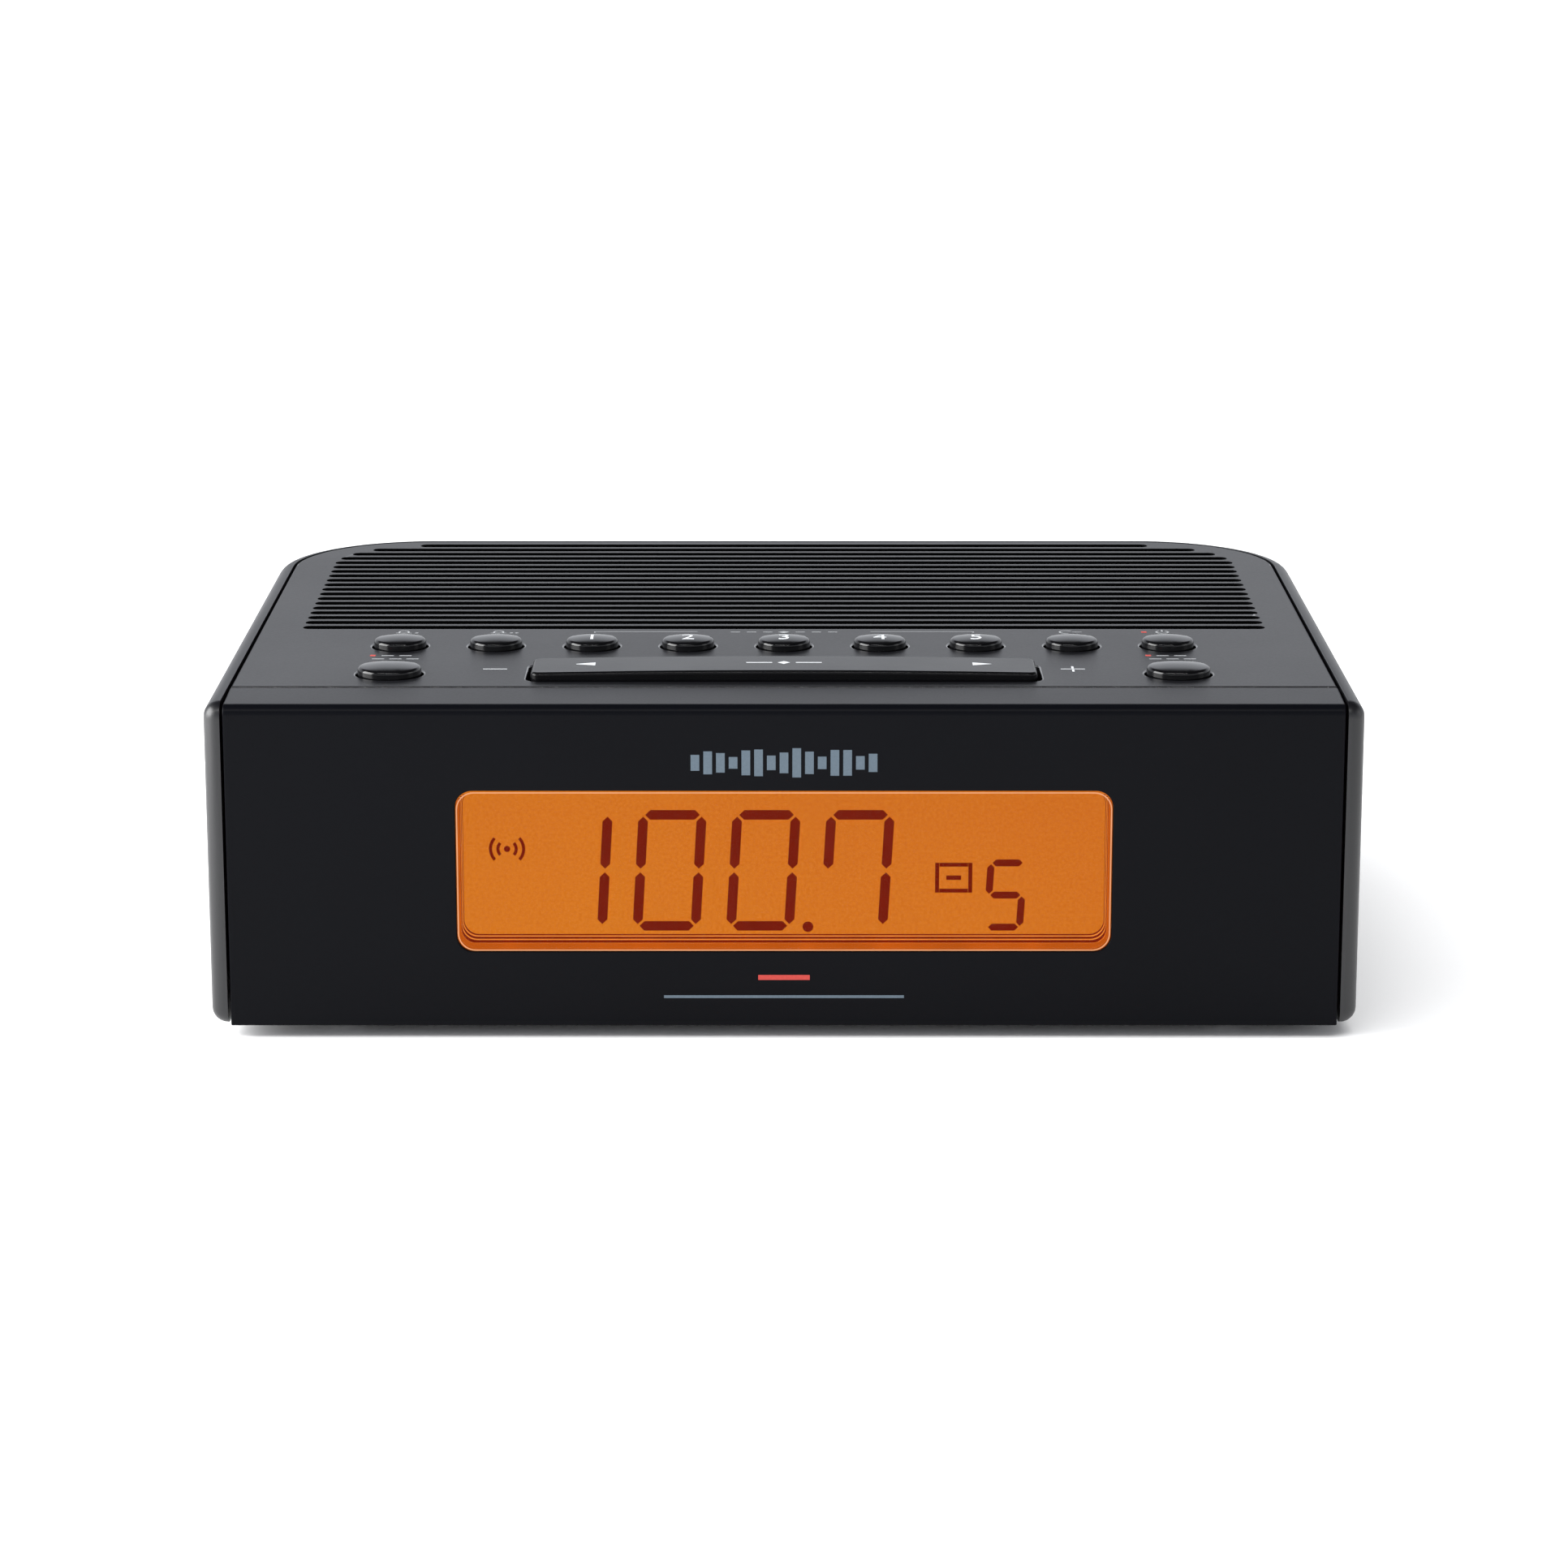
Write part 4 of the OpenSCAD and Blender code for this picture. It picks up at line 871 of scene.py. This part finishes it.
    def figures(self, look):
        """The station's frequency, its preset's number and two signs, just off the glass."""
        mm = 1 / MM
        height, width = look.digit_height * mm, look.digit_width * mm
        pitch, stroke = look.digit_pitch * mm, look.stroke * mm
        lean = math.tan(look.slant)
        first = -43.0
        stencil = Stencil()
        for place, figure in enumerate("1007"):
            self.digit(stencil, figure, first + place * pitch, width, height, stroke, lean)
        stencil.disc(first + 2 * pitch + width + 2.5, 0.7, 0.95)
        self.digit(stencil, "5", left=34.9, width=7.0, height=12.9, stroke=1.25, lean=lean)
        self.store_sign(stencil, 29.7, 9.6)
        self.wave_sign(stencil, -48.4, 14.8)
        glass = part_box("display_glass")
        base_z = middle("display_lens").z - look.drop - look.digit_height / 2
        stencil.cut("display_figures", on_front(0, glass[0].y - SKIN, base_z), 0.05 * MM,
                    self.figure_ink(look.figure_colour), body_of("display_glass"),
                    "display_amber")

    @staticmethod
    def store_sign(stencil, x, y):
        """A small open frame with a bar in it, for a stored station."""
        for side in (-1, 1):
            stencil.bar(x + side * 2.9, y, 0.7, 5.4)
            stencil.bar(x, y + side * 2.35, 5.0, 0.7)
        stencil.bar(x, y, 2.6, 0.8)

    @staticmethod
    def wave_sign(stencil, x, y):
        """A mast with waves on both sides, for the radio band."""
        stencil.disc(x, y, 0.55)
        for side in (0, 180):
            for radius in (1.6, 2.9):
                stencil.arc(x, y, radius, 0.55, side - 42, 84, 12)

    @staticmethod
    def figure_ink(shade):
        """Dark segments that let a little of the backlight through."""
        finish = Finish("display figures")
        cloud = finish.noise(300.0, 2.0, 0.5)
        glow = finish.blend(cloud, tinted(shade, 0.85), tinted(shade, 1.1))
        return finish.use(Base_Color=(0.004, 0.001, 0.0), Roughness=0.6, Emission_Color=glow,
                          Emission_Strength=1.0, Specular_IOR_Level=0.0)


class RADIO_OT_prints(bpy.types.Operator):
    """Prints the numerals, signs and plain badge"""

    bl_idname = "radio.prints"
    bl_label = "Printed marks"
    bl_options = {"REGISTER", "UNDO"}

    def execute(self, context):
        look = context.scene.radio_print
        self.lift = look.ink_height
        self.white = ink("white ink", look.white_ink)
        self.grey = ink("grey ink", look.grey_ink)
        self.red = ink("red ink", look.red_ink)
        self.blue = ink("grey-blue ink", look.blue_ink)
        self.top_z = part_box("side_back_shell")[1].z
        self.numerals()
        self.bar_signs()
        self.top_signs()
        self.badge()
        return {"FINISHED"}

    def flat(self, stencil, name, x, y, material):
        """A print on the top panel."""
        stencil.cut(name, on_top(x, y, self.top_z - SKIN), self.lift + SKIN, material,
                    body_of("top_panel"), "cabinet_satin")

    def numerals(self):
        """The presets' numbers, bent over the keys' domes."""
        root = 0.1 * MM
        for i in range(1, 6):
            node = f"key_preset_{i}"
            centre = middle(node)
            stencil = Stencil()
            stencil.figures(str(i), 5.2)
            place = on_top(centre.x, centre.y - 0.6 * MM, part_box(node)[1].z - root)
            stencil.cut(f"numeral_{i}", place, root + self.lift, self.white, body_of(node),
                        "key_gloss", node)

    def bar_signs(self):
        """An arrow at each end of the tuning bar, and a plain sign in its middle."""
        sign_y = middle("tuning_bar").y + 0.4 * MM
        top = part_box("tuning_bar")[1].z
        end_drop, root = 0.36 * MM, 0.1 * MM
        for name, side in (("down", -1), ("up", 1)):
            stencil = Stencil()
            stencil.patch([(side * 1.7, 0), (-side * 1.7, 1.15), (-side * 1.7, -1.15)][::side])
            stencil.cut(f"tune_{name}_sign", on_top(side * 35.2 * MM, sign_y, top - end_drop),
                        root + self.lift, self.white, body_of("tuning_bar"), "key_gloss")
        stencil = Stencil()
        for x in (-4.4, 4.4):
            stencil.bar(x, 0, 4.6, 0.5)
        stencil.patch([(-1.1, 0), (0, -1.1), (1.1, 0), (0, 1.1)])
        stencil.cut("tuning_sign", on_top(0, sign_y, top - root / 2), root / 2 + self.lift,
                    self.white, body_of("tuning_bar"), "key_gloss")

    def top_signs(self):
        """Signs beside the bar and behind the keys, and the red dashes."""
        bar_y = middle("tuning_bar").y
        back_y = middle("key_preset_3").y + 12.3 * MM
        for name, x in (("minus", -51.5), ("plus", 51.5)):
            stencil = Stencil()
            stencil.bar(0, 0, 4.3, 0.36)
            if name == "plus":
                stencil.bar(0, 0, 0.4, 4.3)
            self.flat(stencil, f"{name}_sign", x * MM, bar_y + 3.2 * MM, self.white)
        for i, node in enumerate(("key_alarm_1", "key_alarm_2"), 1):
            self.flat(self.bell(i), f"bell_sign_{i}", middle(node).x - 0.3 * MM, back_y,
                      self.grey)
        stencil = Stencil()
        for side in (-1, 1):
            stencil.bar(side * 25.5, 0.4, 19.0, 0.28)
            stencil.bar(side * 35.0, 0.0, 0.28, 1.0)
        stencil.patch([(-1.1, 0), (0, -0.8), (1.1, 0), (0, 0.8)])
        for x in (-9.0, -6.0, -3.0, 3.0, 6.0, 9.0):
            stencil.bar(x, 0, 1.7, 0.4)
        self.flat(stencil, "preset_line", 0, back_y, self.grey)
        stencil = Stencil()
        stencil.arc(-0.3, 0, 1.2, 0.32, 40, 250, 24)
        stencil.bar(1.7, 0.0, 1.8, 0.32)
        self.flat(stencil, "nap_sign", middle("key_nap").x, back_y, self.grey)
        stencil = Stencil()
        stencil.arc(0, 0, 1.1, 0.32, 120, 300, 30)
        stencil.bar(0, 1.0, 0.32, 1.4)
        self.flat(stencil, "power_sign", middle("key_power").x, back_y, self.grey)
        for name, node in (("display", "key_display"), ("band", "key_band")):
            centre = middle(node)
            for row, y, marks in ((1, 12.4, (-3.1, 0, 3.1)), (2, 15.2, (-1.6, 1.6))):
                stencil = Stencil()
                for x in marks:
                    stencil.bar(x, 0, 2.2, 0.5)
                self.flat(stencil, f"{name}_sign_{row}", centre.x, centre.y + y * MM, self.grey)
        dash_y = -37.2 * MM
        for name, x, y in (("left", -74.3, dash_y), ("right", 65.8, dash_y),
                           ("power", 66.6, back_y)):
            stencil = Stencil()
            stencil.bar(0, 0, 1.0, 1.1)
            self.flat(stencil, f"{name}_dash", x * MM, y, self.red)

    @staticmethod
    def bell(count):
        """A small bell with one or two dots beside it."""
        stencil = Stencil()
        stencil.arc(0, 0.2, 0.85, 0.32, 0, 180, 16)
        stencil.bar(-0.85, -0.3, 0.32, 1.0)
        stencil.bar(0.85, -0.3, 0.32, 1.0)
        stencil.bar(0, -0.9, 2.9, 0.32)
        stencil.disc(0, -1.4, 0.3, 16)
        for i in range(count):
            stencil.disc(2.4 + i * 1.0, -0.8, 0.32, 16)
        return stencil

    def badge(self):
        """A row of upright strokes, like a level meter, and two plain lines under the display."""
        count, pitch, stroke = 15, 2.2, 1.5
        meter, red, grey = Stencil(), Stencil(), Stencil()
        for i in range(count):
            height = 1.6 + 3.6 * abs(math.sin(i * 0.9 + 0.6)) * math.cos((i - 8) / 8.6)
            meter.bar((i - (count - 1) / 2) * pitch, 0, stroke, height)
        red.bar(0, 0, 9.0, 0.9)
        grey.bar(0, 0, 42.0, 0.5)
        face_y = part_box("front_panel")[0].y + SKIN
        centre_z = middle("display_lens").z
        for name, stencil, rise, material in (("level_badge", meter, 19.5, self.blue),
                                              ("red_line", red, -19.1, self.red),
                                              ("grey_line", grey, -22.6, self.blue)):
            stencil.cut(name, on_front(0, face_y, centre_z + rise * MM), self.lift + SKIN,
                        material, body_of("front_panel"), "front_gloss")


class RADIO_OT_underside(bpy.types.Operator):
    """Finishes the base plate, feet, screws and battery bay"""

    bl_idname = "radio.underside"
    bl_label = "Underside"
    bl_options = {"REGISTER", "UNDO"}

    def execute(self, context):
        base = moulded("base plastic", (0.014, 0.014, 0.015), 0.55, grain=1500.0, depth=0.03)
        for node in ("base_plate", "battery_door"):
            finish_node(node, base)
        finish_node("feet", rubber("foot rubber", (0.012, 0.012, 0.012)))
        steel = metal("zinc plate", (0.55, 0.55, 0.57), 0.3)
        for node in ("case_screws", "panel_screws", "display_screws", "key_board_screws",
                     "speaker_screws", "main_board_screws", "rocker_pin"):
            finish_node(node, steel)
        nickel = metal("nickel plate", (0.7, 0.68, 0.63), 0.18)
        for node in ("battery_contacts", "battery_springs"):
            finish_node(node, nickel)
        return {"FINISHED"}


class RADIO_OT_rear(bpy.types.Operator):
    """Finishes the rear recess, its sockets and the volume wheel"""

    bl_idname = "radio.rear"
    bl_label = "Rear recess"
    bl_options = {"REGISTER", "UNDO"}

    def execute(self, context):
        recess = moulded("recess plastic", (0.014, 0.014, 0.015), 0.5, grain=1500.0, depth=0.03)
        finish_node("rear_recess", recess)
        socket = moulded("socket plastic", (0.01, 0.01, 0.011), 0.35, grain=2500.0, depth=0.006)
        for node in ("dc_socket", "aux_socket"):
            finish_node(node, socket)
        finish_node("aerial_gland", rubber("gland rubber", (0.011, 0.011, 0.011)))
        finish_node("volume_wheel", moulded("wheel plastic", (0.013, 0.013, 0.014), 0.45))
        finish_node("volume_control", moulded("control plastic", (0.08, 0.08, 0.085), 0.5))
        return {"FINISHED"}


class RADIO_OT_inside(bpy.types.Operator):
    """Finishes the speaker, the boards and the aerial"""

    bl_idname = "radio.inside"
    bl_label = "Inside"
    bl_options = {"REGISTER", "UNDO"}

    def execute(self, context):
        board = circuit_board("solder mask", (0.012, 0.085, 0.035))
        for node in ("main_board", "display_board", "key_board"):
            finish_node(node, board)
        plastics = {"key_switches": ((0.03, 0.03, 0.032), 0.5),
                    "board_chips": ((0.012,) * 3, 0.5),
                    "board_capacitors": ((0.02, 0.035, 0.1), 0.35),
                    "ribbon_cable": ((0.45, 0.45, 0.43), 0.5),
                    "rod_holders": ((0.7, 0.69, 0.65), 0.5),
                    "snooze_yoke": ((0.6, 0.6, 0.57), 0.4)}
        for node, (shade, rough) in plastics.items():
            finish_node(node, moulded(node.replace("_", " "), shade, rough))
        finish_node("speaker_gasket", rubber("gasket foam", (0.04, 0.04, 0.04), 0.9))
        finish_node("speaker_surround", rubber("surround rubber", (0.02, 0.02, 0.02), 0.6))
        cone = paper("cone paper", (0.035, 0.035, 0.038))
        for node in ("speaker_cone", "speaker_dust_cap"):
            finish_node(node, cone)
        metals = {"speaker_basket": ((0.2, 0.205, 0.215), 0.45),
                  "speaker_coil": ((0.75, 0.33, 0.14), 0.3),
                  "aerial_coil": ((0.75, 0.33, 0.14), 0.3),
                  "speaker_pole": ((0.5, 0.5, 0.52), 0.3), "tuner_module": ((0.6, 0.6, 0.58), 0.3)}
        for node, (shade, rough) in metals.items():
            finish_node(node, metal(node.replace("_", " ") + " metal", shade, rough))
        ferrite = moulded("ferrite", (0.03, 0.03, 0.033), 0.7, grain=600.0, depth=0.06)
        for node in ("speaker_magnet", "aerial_rod"):
            finish_node(node, ferrite)
        return {"FINISHED"}


SETTINGS = {"radio_cabinet": RadioCabinetSettings, "radio_display": RadioDisplaySettings,
            "radio_print": RadioPrintSettings, "radio_stage": RadioStageSettings}
STEPS = [RADIO_OT_stage, RADIO_OT_cabinet, RADIO_OT_keys, RADIO_OT_display, RADIO_OT_prints,
         RADIO_OT_underside, RADIO_OT_rear, RADIO_OT_inside]


class RADIO_PT_panel(bpy.types.Panel):
    """Lists the build steps and their settings"""

    bl_label = "Clock radio"
    bl_idname = "RADIO_PT_panel"
    bl_space_type = "VIEW_3D"
    bl_region_type = "UI"
    bl_category = "Radio"

    def draw(self, context):
        for step in STEPS:
            self.layout.operator(step.bl_idname)
        for name in SETTINGS:
            group = getattr(context.scene, name)
            box = self.layout.box()
            for key in group.bl_rna.properties.keys():
                if key not in ("rna_type", "name"):
                    box.prop(group, key)


def register():
    for kind in (*SETTINGS.values(), *STEPS, RADIO_PT_panel):
        bpy.utils.register_class(kind)
    for name, kind in SETTINGS.items():
        setattr(bpy.types.Scene, name, PointerProperty(type=kind))


def unregister():
    for name in SETTINGS:
        delattr(bpy.types.Scene, name)
    for kind in reversed((*SETTINGS.values(), *STEPS, RADIO_PT_panel)):
        bpy.utils.unregister_class(kind)


def main():
    register()
    for step in STEPS:
        group, name = step.bl_idname.split(".")
        getattr(getattr(bpy.ops, group), name)()


if __name__ == "__main__":
    main()
